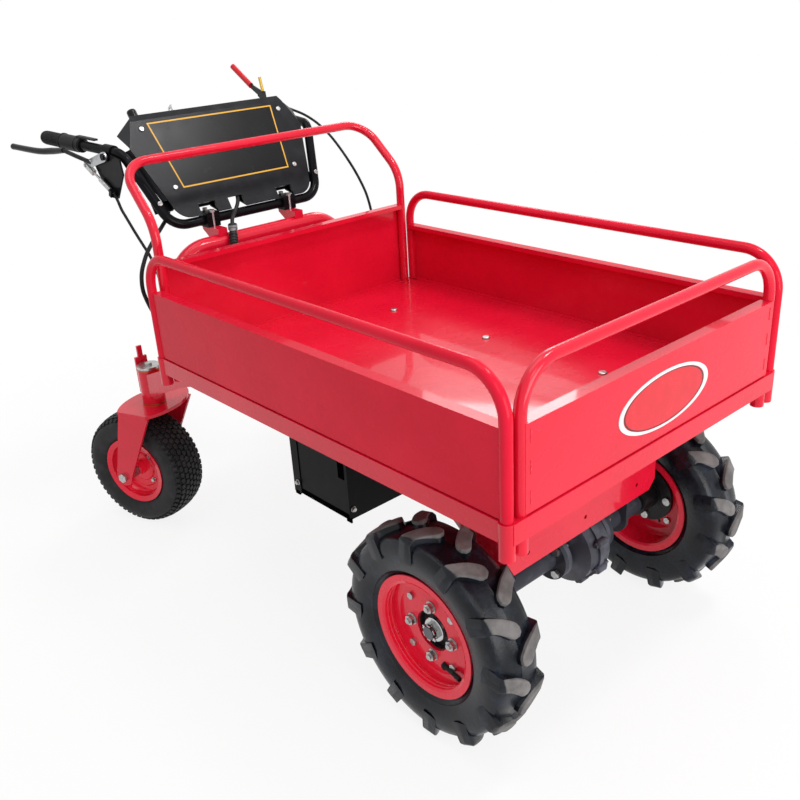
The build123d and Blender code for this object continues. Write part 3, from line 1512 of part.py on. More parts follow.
def left_lever_bracket():
    """Clamp on the left handle with an upright plate, a pivot stud and a cable adjuster."""
    ring_end = left_ring_start + left_ring_length
    bracket = rod(along_handle(1, left_ring_start), along_handle(1, ring_end), bracket_ring_radius)
    pivot = from_bar(left_pivot)
    base = along_handle(1, left_ring_start + left_ring_length / 2)
    outline = [(base.Y - left_bracket_foot, base.Z + bar_radius),
               (base.Y + left_bracket_foot, base.Z + bar_radius)]
    outline += [(pivot[0] + dy, pivot[1] + dz) for dy, dz in left_bracket_ears]
    x0 = left_plate_x - bracket_plate / 2
    x1 = left_plate_x + bracket_plate / 2
    bracket += upright_plate(outline, x0, x1)
    lever_near = x1 + running_gap
    lever_far = lever_near + lever_plate
    head = lever_far + running_gap
    bracket += rod((x1, *pivot), (head, *pivot), pivot_radius)
    bracket += rod((head, *pivot), (head + pivot_head_height, *pivot), pivot_head)
    adjuster_x = x1 - adjuster_radius - running_gap
    foot = Vector(adjuster_x, pivot[0] + adjuster_foot[0], pivot[1] + adjuster_foot[1])
    bracket += rod(foot, foot + Vector(0, adjuster_lean, adjuster_height), adjuster_radius)
    boss_z = pivot[1] - cable_boss_drop
    bracket += rod((left_plate_x, pivot[0] - cable_boss_front, boss_z),
                   (left_plate_x, pivot[0] - cable_boss_rear, boss_z), left_cable_radius + 2)
    bracket -= handle_bore(1, left_ring_start, ring_end)
    return bracket


def left_lever():
    """Hand lever with a red sleeve that points back and up."""
    pivot = from_bar(left_pivot)
    elbow = from_bar(left_elbow)
    tip = from_bar(left_tip)
    x0 = left_plate_x + bracket_plate / 2 + running_gap
    x1 = x0 + lever_plate
    middle = (x0 + x1) / 2
    outline = ((pivot[0], pivot[1] + left_lever_hub), (elbow[0], elbow[1] + 5), (elbow[0] + 8, elbow[1] - 1),
               (elbow[0], elbow[1] - 7), (pivot[0], pivot[1] - left_lever_hub))
    lever = upright_plate(outline, x0, x1)
    lever += rod((x0, *pivot), (x1, *pivot), left_lever_hub)
    lever += rod((middle, *elbow), (middle, *tip), left_sleeve_radius)
    lever -= rod((x0, *pivot), (x1, *pivot), pivot_radius + pivot_fit)
    return lever


# Cords. Their points are chosen by hand along the routes that the cords really take.

def route(points):
    """Turns (x, y behind the bed, height from the lower bar) points into machine points.

    Heights below the bar stretch so that -cord_fall is the top of the rear beam.
    """
    stretch = (bar_height - beam_top) / cord_fall
    return [(x, bed_length + y, bar_height + (z * stretch if z < 0 else z)) for x, y, z in points]


hose_points = route(((-82, 103.8, -14), (-104, 71, -60), (-112, 58, -112), (-114, 54, -170), (-112, 60, -234),
                     (-112, 60, -cord_fall)))
loom_points = route(((-14, 184, 46), (-17.8, 170.7, 34), (-26.6, 158.1, 24.7), (-38.7, 146, 17.2),
                     (-52.2, 134.7, 10.5), (-65.4, 124, 3.7), (-75.8, 113.6, -4.1), (-82, 103.8, -14)))
brake_cable_points = route(((-281, 261.5, 75), (-281, 250, 63), (-281, 240, 44), (-279, 222, 23),
                            (-280, 195, 0), (-281, 165, -23), (-281, 133, -49), (-280, 114, -88),
                            (-277, 108, -136), (-273, 112, -188), (-267, 124, -244), (-267, 124, -cord_fall)))
left_cable_points = route(((284, 453.5, 209), (291, 424, 200), (299, 368, 187.5), (302, 310, 176), (302, 256, 157),
                           (301, 206, 130), (300, 158, 92), (299, 110, 46), (298, 72, -4), (294, 50, -58),
                           (288, 44, -118), (278, 56, -178), (260, 98, -242), (260, 98, -cord_fall)))
power_cable_points = route(((-165, 243, 67), (-170, 224, 36), (-192, 198, 16), (-230, 170, -2), (-268, 142, -19),
                            (-303, 111, -35), (-330, 92, -66), (-336, 88, -102), (-325, 90, -142), (-306, 93, -186),
                            (-282, 96, -226), (-260, 98, -262), (-260, 98, -cord_fall)))


def cord_bends(points):
    """The largest arc that each corner of a cord's route leaves room for."""
    bends = []
    for a, b, c in zip(points, points[1:], points[2:]):
        first = Vector(*b) - Vector(*a)
        second = Vector(*c) - Vector(*b)
        turn = radians(first.get_angle(second))
        bends.append(0.45 * min(first.length, second.length) / tan(turn / 2))
    return bends


def cord_path(points):
    """Straight runs joined by tangent arcs through a cord's points."""
    return FilletPolyline(*points, radius=cord_bends(points))


def cord(name, points, radius):
    """A round cord along its route; prints its bends and how its volume compares."""
    path = cord_path(points)
    start = Plane(origin=path @ 0, z_dir=path % 0)
    tube = sweep(start * Circle(radius), path=path)
    ideal = pi * radius ** 2 * path.length
    bends = [round(bend) for bend in cord_bends(points)]
    print(name, "length", round(path.length), "bends", bends, "volume ratio", round(tube.volume / ideal, 4))
    return tube


def wiring_conduit():
    """Ribbed hose from the rear beam up to a collar, and the smooth loom from there into the console."""
    path = cord_path(hose_points)
    plain = 2 * hose_radius
    count = int((path.length - 2 * plain) / hose_pitch)
    stations = [(0.0, hose_root_radius), (plain, hose_root_radius)]
    for i in range(count):
        start = plain + i * hose_pitch
        stations.append((start + 0.25 * hose_pitch, hose_root_radius))
        stations.append((start + 0.4 * hose_pitch, hose_radius))
        stations.append((start + 0.7 * hose_pitch, hose_radius))
        stations.append((start + 0.85 * hose_pitch, hose_root_radius))
    stations.append((path.length, hose_root_radius))
    circles = []
    for distance, radius in stations:
        t = distance / path.length
        circles.append(Plane(origin=path @ t, x_dir=(1, 0, 0), z_dir=path % t) * Circle(radius))
    hose = loft(circles, ruled=True)
    mouth = path @ 0
    along = path % 0
    hose -= sweep(Plane(origin=mouth, z_dir=along) * Circle(hose_bore), path=path)
    bends = [round(bend) for bend in cord_bends(hose_points)]
    print("wiring_conduit length", round(path.length), "ribs", count, "bends", bends)
    collar_start = mouth - along * (hose_collar_length / 3)
    hose += rod(collar_start, mouth + along * hose_collar_length, hose_collar_radius)
    return hose + cord("wiring_loom", loom_points, loom_radius)


# Every piece by name

def mirrored_pair(name, left_shape):
    """A left piece and its right twin."""
    return {"left_" + name: left_shape, "right_" + name: other_side(left_shape)}


pieces = {
    "chassis_frame": chassis_frame(),
    "caster_arms": Compound([caster_arm(), other_side(caster_arm())]),
    "bed_frame": bed_frame(),
    "bed_floor": bed_floor(),
    "floor_bolts": floor_bolts(),
    "gear_case": gear_case(),
    "axle_tubes": Compound([axle_tube(-1), axle_tube(1)]),
    "axle_bearings": axle_bearings(),
    "frame_bolts": Compound(flange_bolts() + clamp_bolts()),
    "drive_motor": drive_motor(),
    "battery_box": battery_box(),
    "batteries": batteries(),
    "motor_controller": motor_controller(),
    "handlebar_arch": handlebar_arch(),
    "bar_clamps": bar_clamps(),
    "handlebar": handlebar(),
    "console_front": console_front(),
    "console_back": console_back(),
    "console_screws": console_screws(),
    "battery_gauge": battery_gauge(),
    "key_switch": key_switch(),
    "ignition_key": ignition_key(),
    "direction_knob": direction_knob(),
    "handle_grips": handle_grips(),
    "throttle_body": throttle_body(),
    "throttle_lever": throttle_lever(),
    "brake_bracket": brake_bracket(),
    "brake_lever": brake_lever(),
    "brake_rod": brake_rod(),
    "left_lever_bracket": left_lever_bracket(),
    "left_lever": left_lever(),
    "wiring_conduit": wiring_conduit(),
    "brake_cable": cord("brake_cable", brake_cable_points, brake_cable_radius),
    "left_cable": cord("left_cable", left_cable_points, left_cable_radius),
    "power_cable": cord("power_cable", power_cable_points, power_cable_radius),
    "kingpin_bushes": kingpin_bushes(),
}
pieces.update(panels())
pieces.update(mirrored_pair("swivel_lock", swivel_lock()))
pieces.update(mirrored_pair("drive_tyre", drive_tyre()))
pieces.update(mirrored_pair("rim_outer", rim_half(1)))
pieces.update(mirrored_pair("rim_inner", rim_half(-1)))
pieces.update(mirrored_pair("drive_hub", drive_hub()))
pieces.update(mirrored_pair("wheel_bolts", wheel_bolts()))
for name, shape in (("caster_fork", caster_fork()), ("caster_fasteners", caster_fasteners()),
                    ("caster_rim", caster_rim()), ("caster_tyre", caster_tyre())):
    right = placed_caster(shape)
    pieces["right_" + name] = right
    pieces["left_" + name] = other_side(right)

boxes = [piece.bounding_box() for piece in pieces.values()]
middle = (min(box.min.Y for box in boxes) + max(box.max.Y for box in boxes)) / 2
print("middle of the length", round(middle, 3), "behind the bed's front face")

os.makedirs("parts", exist_ok=True)
for name, piece in pieces.items():
    export_step(Pos(0, -middle, 0) * piece, "parts/" + name + ".step")
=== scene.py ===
import bmesh
import bpy
import json
import math
from mathutils import Matrix, Vector


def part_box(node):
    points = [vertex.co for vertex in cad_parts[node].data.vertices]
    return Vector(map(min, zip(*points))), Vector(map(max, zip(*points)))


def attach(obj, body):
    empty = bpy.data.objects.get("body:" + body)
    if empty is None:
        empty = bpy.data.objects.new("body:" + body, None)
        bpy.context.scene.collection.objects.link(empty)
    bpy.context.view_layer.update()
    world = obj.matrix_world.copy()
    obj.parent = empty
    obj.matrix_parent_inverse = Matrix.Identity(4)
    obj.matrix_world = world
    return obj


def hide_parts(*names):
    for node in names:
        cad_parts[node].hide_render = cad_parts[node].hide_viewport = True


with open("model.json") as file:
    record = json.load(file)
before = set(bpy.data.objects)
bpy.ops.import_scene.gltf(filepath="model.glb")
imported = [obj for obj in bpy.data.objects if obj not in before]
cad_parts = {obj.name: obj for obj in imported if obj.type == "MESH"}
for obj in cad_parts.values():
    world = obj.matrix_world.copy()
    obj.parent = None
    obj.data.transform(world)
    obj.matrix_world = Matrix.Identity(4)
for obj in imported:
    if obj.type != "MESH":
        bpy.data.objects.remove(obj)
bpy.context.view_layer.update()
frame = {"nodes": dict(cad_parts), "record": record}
nodes = frame["nodes"]

# Lengths are in metres. "Behind" is measured from the bed's front edge, and heights from the ground.
bed_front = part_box("bed_frame")[0][1]
SIDES = (("left", 1), ("right", -1))
X_AXIS, Y_AXIS, Z_AXIS = range(3)


def from_bed(across, behind, height):
    """A point measured from the ground under the middle of the bed's front edge."""
    return Vector((across, bed_front + behind, height))


def mirrored(out, place):
    """A point given for the left side, on the side that out points to: 1 is left and -1 is right."""
    across, behind, height = place
    return from_bed(out * across, behind, height)


def box_middle(node):
    """The middle of a CAD node's box."""
    low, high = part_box(node)
    return (Vector(low) + Vector(high)) / 2


# Shader expressions

class Value:
    """A shader socket that takes part in Python sums."""

    def __init__(self, finish, socket):
        self.finish = finish
        self.socket = socket

    def _sum(self, operation, first, second):
        made = self.finish.node("ShaderNodeMath", {"operation": operation}, {0: first, 1: second})
        return Value(self.finish, made.outputs[0])

    def __add__(self, other):
        return self._sum("ADD", self, other)

    def __radd__(self, other):
        return self._sum("ADD", other, self)

    def __sub__(self, other):
        return self._sum("SUBTRACT", self, other)

    def __rsub__(self, other):
        return self._sum("SUBTRACT", other, self)

    def __mul__(self, other):
        return self._sum("MULTIPLY", self, other)

    def __rmul__(self, other):
        return self._sum("MULTIPLY", other, self)

    def __pow__(self, other):
        return self._sum("POWER", self, other)

    def most(self, other):
        return self._sum("MAXIMUM", self, other)

    def size(self):
        return self._sum("ABSOLUTE", self, 0.0)

    def ramp(self, low, high):
        """0 below low, 1 above high and smooth between them."""
        made = self.finish.node("ShaderNodeMapRange", {"interpolation_type": "SMOOTHSTEP"},
                                {"Value": self, "From Min": low, "From Max": high})
        return Value(self.finish, made.outputs["Result"])

    def within(self, low, high, soft):
        """1 between low and high and 0 outside them."""
        return self.ramp(low - soft, low + soft) * (1 - self.ramp(high - soft, high + soft))


class Finish:
    """One material with its Principled shader and the nodes that feed it."""

    def __init__(self, name):
        self.material = bpy.data.materials.new(name)
        self.material.use_nodes = True
        self.tree = self.material.node_tree
        self.shader = self.tree.nodes["Principled BSDF"]

    def node(self, kind, settings=None, sockets=None):
        """Adds a node, sets its settings first and then its sockets' values or links."""
        made = self.tree.nodes.new(kind)
        for key, value in (settings or {}).items():
            setattr(made, key, value)
        for key, value in (sockets or {}).items():
            self.feed(made.inputs[key], value)
        return made

    def feed(self, socket, value):
        """Sets a socket's value, or links it to an output."""
        if isinstance(value, Value):
            self.tree.links.new(value.socket, socket)
        elif isinstance(value, bpy.types.NodeSocket):
            self.tree.links.new(value, socket)
        else:
            socket.default_value = value

    def set(self, **sockets):
        """Feeds the Principled shader. An underscore stands for a space in a socket's name."""
        for key, value in sockets.items():
            self.feed(self.shader.inputs[key.replace("_", " ")], value)

    def place(self):
        """The Object coordinates."""
        return self.node("ShaderNodeTexCoord").outputs["Object"]

    def axes(self):
        """X, Y and Z of the Object coordinates as three values."""
        parts = self.node("ShaderNodeSeparateXYZ", None, {0: self.place()})
        return [Value(self, socket) for socket in parts.outputs]

    def noise(self, scale, detail=2.0, roughness=0.5):
        """Cloudy noise from 0 to 1."""
        made = self.node("ShaderNodeTexNoise", None, {"Vector": self.place(), "Scale": scale,
                                                      "Detail": detail, "Roughness": roughness})
        return Value(self, made.outputs["Fac"])

    def grains(self, scale):
        """Distance to the nearest of many scattered points."""
        made = self.node("ShaderNodeTexVoronoi", None, {"Vector": self.place(), "Scale": scale})
        return Value(self, made.outputs["Distance"])

    def blend(self, mask, first, second):
        """A colour between two colours."""
        made = self.node("ShaderNodeMix", {"data_type": "RGBA"}, {"Factor": mask, 6: first, 7: second})
        return made.outputs[2]

    def bump(self, height, strength, distance):
        """A normal that follows a height."""
        made = self.node("ShaderNodeBump", None,
                         {"Height": height, "Strength": strength, "Distance": distance})
        return made.outputs["Normal"]


def colour(red, green, blue):
    """A screen colour of 0 to 255 steps as a shader colour."""
    def linear(step):
        part = step / 255
        return part / 12.92 if part <= 0.04045 else ((part + 0.055) / 1.055) ** 2.4
    return (linear(red), linear(green), linear(blue), 1.0)


# Finishes

def red_enamel(name, dark, light, coat=0.5):
    """Glossy red paint with a faint orange peel and slightly uneven depth."""
    finish = Finish(name)
    depth = finish.noise(6.0, 3.0).ramp(0.35, 0.7)
    finish.set(Base_Color=finish.blend(depth, dark, light))
    finish.set(Roughness=0.2 + 0.14 * finish.noise(22.0, 4.0))
    finish.set(Specular_IOR_Level=0.2 * coat, Coat_Weight=coat, Coat_Roughness=0.05)
    finish.set(Normal=finish.bump(finish.noise(420.0, 2.0), 0.06, 0.0006))
    return finish.material


def dark_enamel(name, dark, light):
    """Satin dark paint with dust in its hollows."""
    finish = Finish(name)
    dust = finish.noise(30.0, 5.0).ramp(0.5, 0.8)
    finish.set(Base_Color=finish.blend(dust, dark, light))
    finish.set(Roughness=0.3 + 0.2 * finish.noise(40.0, 4.0))
    finish.set(Specular_IOR_Level=0.03, Coat_Weight=0.12, Coat_Roughness=0.06)
    finish.set(Normal=finish.bump(finish.noise(500.0, 2.0), 0.08, 0.0006))
    return finish.material


def sand_casting():
    """Dark casting with a grainy skin, tinted lighter and blue-grey as a painted sheen."""
    finish = Finish("black_sand_casting")
    cloud = finish.noise(25.0, 5.0)
    # The lighter blue-grey colours are painted sheen on a black casting; the cloud between them is random
    # tone.
    finish.set(Base_Color=finish.blend(cloud.ramp(0.4, 0.7), colour(42, 43, 52), colour(74, 75, 87)))
    finish.set(Roughness=0.38 + 0.2 * cloud)
    finish.set(Normal=finish.bump(finish.noise(380.0, 3.0), 0.3, 0.001))
    return finish.material


def zinc():
    """Bright zinc plate with a light mottle."""
    finish = Finish("zinc_plate")
    mottle = finish.grains(160.0).ramp(0.1, 0.7)
    finish.set(Base_Color=finish.blend(mottle, colour(196, 196, 192), colour(168, 170, 170)))
    finish.set(Metallic=0.95)
    finish.set(Roughness=0.24 + 0.16 * finish.noise(90.0, 3.0))
    return finish.material


def bright_steel():
    """Polished steel with an uneven shine."""
    finish = Finish("bright_steel")
    finish.set(Base_Color=finish.blend(finish.noise(60.0), colour(205, 205, 205), colour(180, 182, 185)))
    finish.set(Metallic=1.0)
    finish.set(Roughness=0.12 + 0.1 * finish.noise(300.0, 2.0))
    return finish.material


def bronze():
    """Sintered bronze."""
    finish = Finish("bronze")
    finish.set(Base_Color=finish.blend(finish.noise(80.0, 3.0), colour(170, 120, 62), colour(140, 98, 52)))
    finish.set(Metallic=1.0)
    finish.set(Roughness=0.35 + 0.15 * finish.noise(120.0))
    return finish.material


def alloy():
    """Sand-blasted aluminium."""
    finish = Finish("blasted_alloy")
    finish.set(Base_Color=finish.blend(finish.noise(70.0, 3.0), colour(170, 172, 175), colour(150, 152, 156)))
    finish.set(Metallic=0.9)
    finish.set(Roughness=0.4 + 0.15 * finish.noise(150.0))
    finish.set(Normal=finish.bump(finish.noise(700.0, 2.0), 0.15, 0.0005))
    return finish.material


def moulded_plastic(name, dark, light, rough):
    """Moulded plastic with a fine leather grain."""
    finish = Finish(name)
    cloud = finish.noise(35.0, 4.0)
    finish.set(Base_Color=finish.blend(cloud.ramp(0.4, 0.7), dark, light))
    finish.set(Roughness=rough + 0.12 * cloud)
    finish.set(Specular_IOR_Level=0.2)
    finish.set(Normal=finish.bump(finish.grains(650.0), 0.2, 0.0004))
    return finish.material


def tyre_rubber():
    """Black rubber, a little greyer where it has been touched or dusted."""
    finish = Finish("tyre_rubber")
    cloud = finish.noise(28.0, 5.0, roughness=0.6)
    finish.set(Base_Color=finish.blend(cloud.ramp(0.42, 0.75), colour(27, 27, 29), colour(48, 48, 51)))
    finish.set(Roughness=0.48 + 0.22 * cloud)
    finish.set(Specular_IOR_Level=0.25)
    finish.set(Normal=finish.bump(finish.noise(330.0, 3.0), 0.25, 0.0008))
    return finish.material


def soft_rubber():
    """Plain black rubber of grips and cable sheaths."""
    finish = Finish("soft_black_rubber")
    cloud = finish.noise(45.0, 4.0)
    finish.set(Base_Color=finish.blend(cloud.ramp(0.4, 0.7), colour(22, 22, 23), colour(36, 36, 37)))
    finish.set(Roughness=0.5 + 0.2 * cloud)
    finish.set(Specular_IOR_Level=0.16)
    finish.set(Normal=finish.bump(finish.noise(600.0, 2.0), 0.15, 0.0005))
    return finish.material


# The keyline runs round a trapezium on the console's sloping face, measured from the handlebar's lower bar.
LOWER_BAR_BEHIND = 1.158
LOWER_BAR_HEIGHT = 0.748
SLOPE_BACK, SLOPE_UP = 0.5195, 0.8545
KEYLINE_HALF_WIDTHS = (0.146, 0.169)
KEYLINE_HEIGHTS = (0.0805, 0.242)
KEYLINE_EDGES = (0.0014, 0.0020)
FACE_FROM_BAR = (0.0148, 0.0156)


def console_enamel():
    """Grainy black paint with a bare keyline frame printed on the sloping face."""
    finish = Finish("console_enamel")
    x, y, z = finish.axes()
    behind = y - (bed_front + LOWER_BAR_BEHIND)
    above = z - LOWER_BAR_HEIGHT
    slope = behind * SLOPE_BACK + above * SLOPE_UP
    out = above * SLOPE_BACK - behind * SLOPE_UP
    narrow, wide = KEYLINE_HALF_WIDTHS
    low, high = KEYLINE_HEIGHTS
    half = narrow + (slope - low) * ((wide - narrow) / (high - low))
    edge = (x.size() - half).most(slope - high).most(low - slope)
    on_face = out.ramp(*FACE_FROM_BAR)
    line = (1 - edge.size().ramp(*KEYLINE_EDGES)) * on_face
    inside = (1 - edge.ramp(-0.0005, 0.0005)) * on_face
    cloud = finish.noise(30.0, 5.0)
    paint = finish.blend(cloud.ramp(0.4, 0.75), colour(19, 20, 23), colour(30, 31, 35))
    panel = finish.blend(inside, paint, colour(17, 17, 19))
    finish.set(Base_Color=finish.blend(line, panel, colour(218, 168, 64)))
    finish.set(Roughness=0.24 + 0.14 * cloud - 0.06 * inside)
    finish.set(Specular_IOR_Level=0.18)
    finish.set(Normal=finish.bump(finish.noise(260.0, 3.0) * (1.1 - inside), 0.22, 0.0008))
    return finish.material


def deep_shade():
    """Unlit black of a hole, with hardly any gloss."""
    finish = Finish("slot_shade")
    cloud = finish.noise(60.0, 3.0)
    finish.set(Base_Color=finish.blend(cloud, colour(5, 5, 6), colour(10, 10, 11)))
    finish.set(Roughness=0.8 + 0.15 * cloud)
    finish.set(Specular_IOR_Level=0.0)
    return finish.material


def banded_finish(name, axis, low, high, band, rest):
    """A finish with another one in a band across it. Each is (colour, roughness, metallic)."""
    finish = Finish(name)
    mask = finish.axes()[axis].within(low, high, 0.0003)
    cloud = finish.noise(60.0, 4.0)
    fresh = finish.blend(mask, rest[0], band[0])
    finish.set(Base_Color=finish.blend(cloud.ramp(0.45, 0.8) * 0.2, fresh, colour(88, 88, 90)))
    finish.set(Roughness=rest[1] + (band[1] - rest[1]) * mask + 0.12 * cloud)
    finish.set(Metallic=rest[2] + (band[2] - rest[2]) * mask)
    finish.set(Specular_IOR_Level=0.25)
    finish.set(Normal=finish.bump(finish.noise(420.0, 2.0), 0.12, 0.0005))
    return finish.material


RED_DARK, RED_LIGHT = colour(210, 17, 46), colour(220, 22, 52)
STEEL = bright_steel()
FINISHES = {
    "red_paint": red_enamel("red_enamel", RED_DARK, RED_LIGHT),
    "black_paint": dark_enamel("black_enamel", colour(13, 13, 16), colour(24, 24, 28)),
    "black_casting": sand_casting(),
    "zinc_steel": zinc(),
    "bearing_steel": STEEL,
    "bright_metal": STEEL,
    "bronze": bronze(),
    "finned_alloy": alloy(),
    "black_plastic": moulded_plastic("black_moulding", colour(24, 24, 25), colour(38, 38, 39), 0.5),
    "grey_plastic": moulded_plastic("grey_moulding", colour(70, 71, 74), colour(84, 85, 88), 0.5),
    "glossy_plastic": moulded_plastic("glossy_moulding", colour(16, 16, 18), colour(24, 24, 26), 0.15),
    "red_sleeve": moulded_plastic("red_dipped_sleeve", colour(190, 20, 30), colour(204, 28, 36), 0.3),
    "black_rubber": soft_rubber(),
    "tyre_rubber": tyre_rubber(),
}
RIM_ENAMEL = red_enamel("rim_enamel", colour(232, 24, 54), colour(242, 30, 60))
PANEL_ENAMEL = red_enamel("panel_enamel", RED_DARK, RED_LIGHT, coat=0.2)
CONSOLE_ENAMEL = console_enamel()
HOLE_SHADE = deep_shade()

# Finishes of the banded nodes as (colour, roughness, metallic), and where their bands lie
SATIN_BLACK = (colour(26, 26, 28), 0.35, 0.0)
BARE_STEEL = (colour(176, 178, 180), 0.25, 0.95)
# Shaft-end steel is a darker copy of bare steel; its darkness is painted shade.
SHADED_SHAFT_STEEL = (colour(104, 105, 108), 0.38, 0.85)
BRASS = (colour(206, 168, 70), 0.25, 0.9)
RED_SLEEVE = (colour(198, 22, 34), 0.3, 0.0)
HOSE_BLACK = (colour(20, 20, 21), 0.45, 0.0)
COLLAR_GREY = (colour(128, 130, 134), 0.4, 0.0)
FAR = 10.0
LEVER_STEEL_FROM = -0.2842
SLEEVE_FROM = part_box("left_lever")[0].y + 0.056
ADJUSTER_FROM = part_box("left_lever_bracket")[1].z - 0.036
SHAFT_SHOWS_FROM = 0.3188
COLLAR_HEIGHTS = (0.7268, 0.7372)
BANDED_NODES = {
    "brake_lever": ("brake_lever_steel", X_AXIS, LEVER_STEEL_FROM, FAR, BARE_STEEL, SATIN_BLACK),
    "left_lever": ("left_lever_sleeve", Y_AXIS, SLEEVE_FROM, FAR, RED_SLEEVE, SATIN_BLACK),
    "left_lever_bracket": ("left_bracket_brass", Z_AXIS, ADJUSTER_FROM, FAR, BRASS, SATIN_BLACK),
    "left_drive_hub": ("left_shaft_end", X_AXIS, SHAFT_SHOWS_FROM, FAR, SHADED_SHAFT_STEEL, SATIN_BLACK),
    "right_drive_hub": ("right_shaft_end", X_AXIS, -FAR, -SHAFT_SHOWS_FROM, SHADED_SHAFT_STEEL, SATIN_BLACK),
    "wiring_conduit": ("hose_collar", Z_AXIS, *COLLAR_HEIGHTS, COLLAR_GREY, HOSE_BLACK),
}
OWN_FINISHES = {
    "console_front": CONSOLE_ENAMEL,
    "console_back": CONSOLE_ENAMEL,
    "left_side_panel": PANEL_ENAMEL,
    "right_side_panel": PANEL_ENAMEL,
    # The axle tubes get a lighter blue-grey copy of the black enamel: painted sheen.
    "axle_tubes": dark_enamel("axle_enamel", colour(56, 57, 64), colour(74, 76, 84)),
}
OWN_FINISHES.update({node: banded_finish(*row) for node, row in BANDED_NODES.items()})
OWN_FINISHES.update({node: RIM_ENAMEL for node in nodes if "_rim" in node})
for subpart in frame["record"]["subparts"]:
    shown_materials = nodes[subpart["node"]].data.materials
    shown_materials.clear()
    shown_materials.append(OWN_FINISHES.get(subpart["node"], FINISHES[subpart["material_slot"]]))


# Making pieces

def piece(name, form, slot_name, body, finish=None, sharp=32.0):
    """Makes a bmesh into an object that rides on a CAD body. Its finish is its slot's if none is given."""
    bmesh.ops.remove_doubles(form, verts=form.verts, dist=1e-6)
    bmesh.ops.recalc_face_normals(form, faces=form.faces)
    mesh = bpy.data.meshes.new(name)
    form.to_mesh(mesh)
    form.free()
    mesh.materials.append(finish or FINISHES[slot_name])
    mesh.shade_smooth()
    mesh.set_sharp_from_angle(angle=math.radians(sharp))
    made = bpy.data.objects.new(name, mesh)
    bpy.context.collection.objects.link(made)
    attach(made, body)
    return made


def moved(form, place):
    """A bmesh after a transform given as a matrix."""
    bmesh.ops.transform(form, matrix=place, verts=form.verts)
    return form


def joined(forms):
    """Several bmeshes as one."""
    whole = bmesh.new()
    for form in forms:
        part = bpy.data.meshes.new("part")
        form.to_mesh(part)
        form.free()
        whole.from_mesh(part)
        bpy.data.meshes.remove(part)
    return whole


def soften(form, edges, offset, segments=2):
    """Bevels edges."""
    bmesh.ops.bevel(form, geom=edges, offset=offset, segments=segments, affect="EDGES", profile=0.5,
                    material=-1)


def raised(form, faces):
    """Extrudes faces and gives the new corners and the new faces."""
    grown = bmesh.ops.extrude_face_region(form, geom=faces)["geom"]
    corners = [part for part in grown if isinstance(part, bmesh.types.BMVert)]
    return corners, [part for part in grown if isinstance(part, bmesh.types.BMFace)]


def spin_outline(form, outline, steps, closed=True):
    """Turns an outline of (axial, radius) points about the X axis."""
    corners = [form.verts.new((axial, 0.0, radius)) for axial, radius in outline]
    pairs = list(zip(corners, corners[1:]))
    if closed:
        pairs.append((corners[-1], corners[0]))
    edges = [form.edges.new(pair) for pair in pairs]
    bmesh.ops.spin(form, geom=corners + edges, cent=(0, 0, 0), axis=(1, 0, 0), dvec=(0, 0, 0),
                   angle=2 * math.pi, steps=steps, use_merge=True, use_duplicate=False)


def ring_form(outline, steps):
    """A closed outline of (axial, radius) points turned about the X axis."""
    form = bmesh.new()
    spin_outline(form, outline, steps)
    return form


def turned_form(outline, start, end, steps=32):
    """An open outline of (axial, radius) points turned about the line from start towards end."""
    form = bmesh.new()
    spin_outline(form, outline, steps, closed=False)
    reach = Vector(end) - Vector(start)
    return moved(form, Matrix.Translation(start) @ reach.to_track_quat("X", "Z").to_matrix().to_4x4())


def bar_form(size, place, softness):
    """A bevelled bar of a given size at a place given as a matrix or as its middle."""
    form = bmesh.new()
    bmesh.ops.create_cube(form, size=1.0, matrix=Matrix.Diagonal((*size, 1.0)))
    soften(form, form.edges[:], softness)
    return moved(form, place if isinstance(place, Matrix) else Matrix.Translation(place))


# Bolts as (height over the surface, share of the bolt's radius) points
WASHER = ((-0.001, 0.0), (-0.001, 2.1), (0.0011, 2.1), (0.0016, 1.95), (0.0016, 0.0))
BOLT_HEAD = ((0.001, 0.0), (0.001, 1.75), (0.0050, 1.75), (0.0060, 1.5), (0.0060, 0.0))


def bolt_form(start, end, radius):
    """Washer and hexagon head on a surface at start, facing towards end."""
    parts = []
    for outline, steps in ((WASHER, 32), (BOLT_HEAD, 6)):
        sized = [(height, share * radius) for height, share in outline]
        parts.append(turned_form(sized, start, end, steps))
    return joined(parts)


def both_ways(half):
    """A half outline that ends on the middle plane, and its mirror image."""
    return list(half) + [(-axial, radius) for axial, radius in reversed(half[:-1])]


# Drive tyres: (axial, radius) points of the carcass from bead to crown, and of its hollow
CASING_HALF = ((0.0355, 0.1022), (0.0355, 0.1165), (0.0390, 0.1200), (0.0425, 0.1245), (0.0435, 0.1247),
               (0.0445, 0.1285), (0.0470, 0.1345), (0.0493, 0.1475), (0.0505, 0.1595), (0.0495, 0.1705),
               (0.0470, 0.1785), (0.0420, 0.1830), (0.0320, 0.1860), (0.0180, 0.1875), (0.0012, 0.1885),
               (0.0, 0.1893))
CASING_HOLLOW = [(-0.0255, 0.1022), (0.0, 0.1622), (0.0255, 0.1022)]
TREAD_RADIUS = 0.202
TREAD_HALF_WIDTH = 0.0525
RUBBED_BELOW_TOP = (0.0052, 0.0034)

# Lugs: shares of their length are 0 at the shoulder and 1 at the nose. A lug spreads at its foot and its
# nose, its top drops towards the tyre's edge, and a buttress runs from it down the shoulder.
LUGS_EACH_SIDE = 12
LUG_HALF_WIDTH = 0.0112
LUG_INNER_END = -0.003
LUG_LEAD = (-0.017, 0.008, 0.028)
NOSE_FROM = 0.8
NOSE_ROUND = 0.9
NOSE_SPREAD = 0.2
FOOT_TO = 0.3
FOOT_SPREAD = 0.3
CROWN_DROP = 0.0085
EDGE_FROM = 0.044
EDGE_DROP = 0.005
LUG_DEPTH = 0.019
LUG_FLARE = 1.14
BUTTRESS_FROM = 0.034
BUTTRESS_DEPTH = 0.021
SOFT_EDGE_ANGLE = 0.7
SOFT_EDGE_DEPTH = 0.018


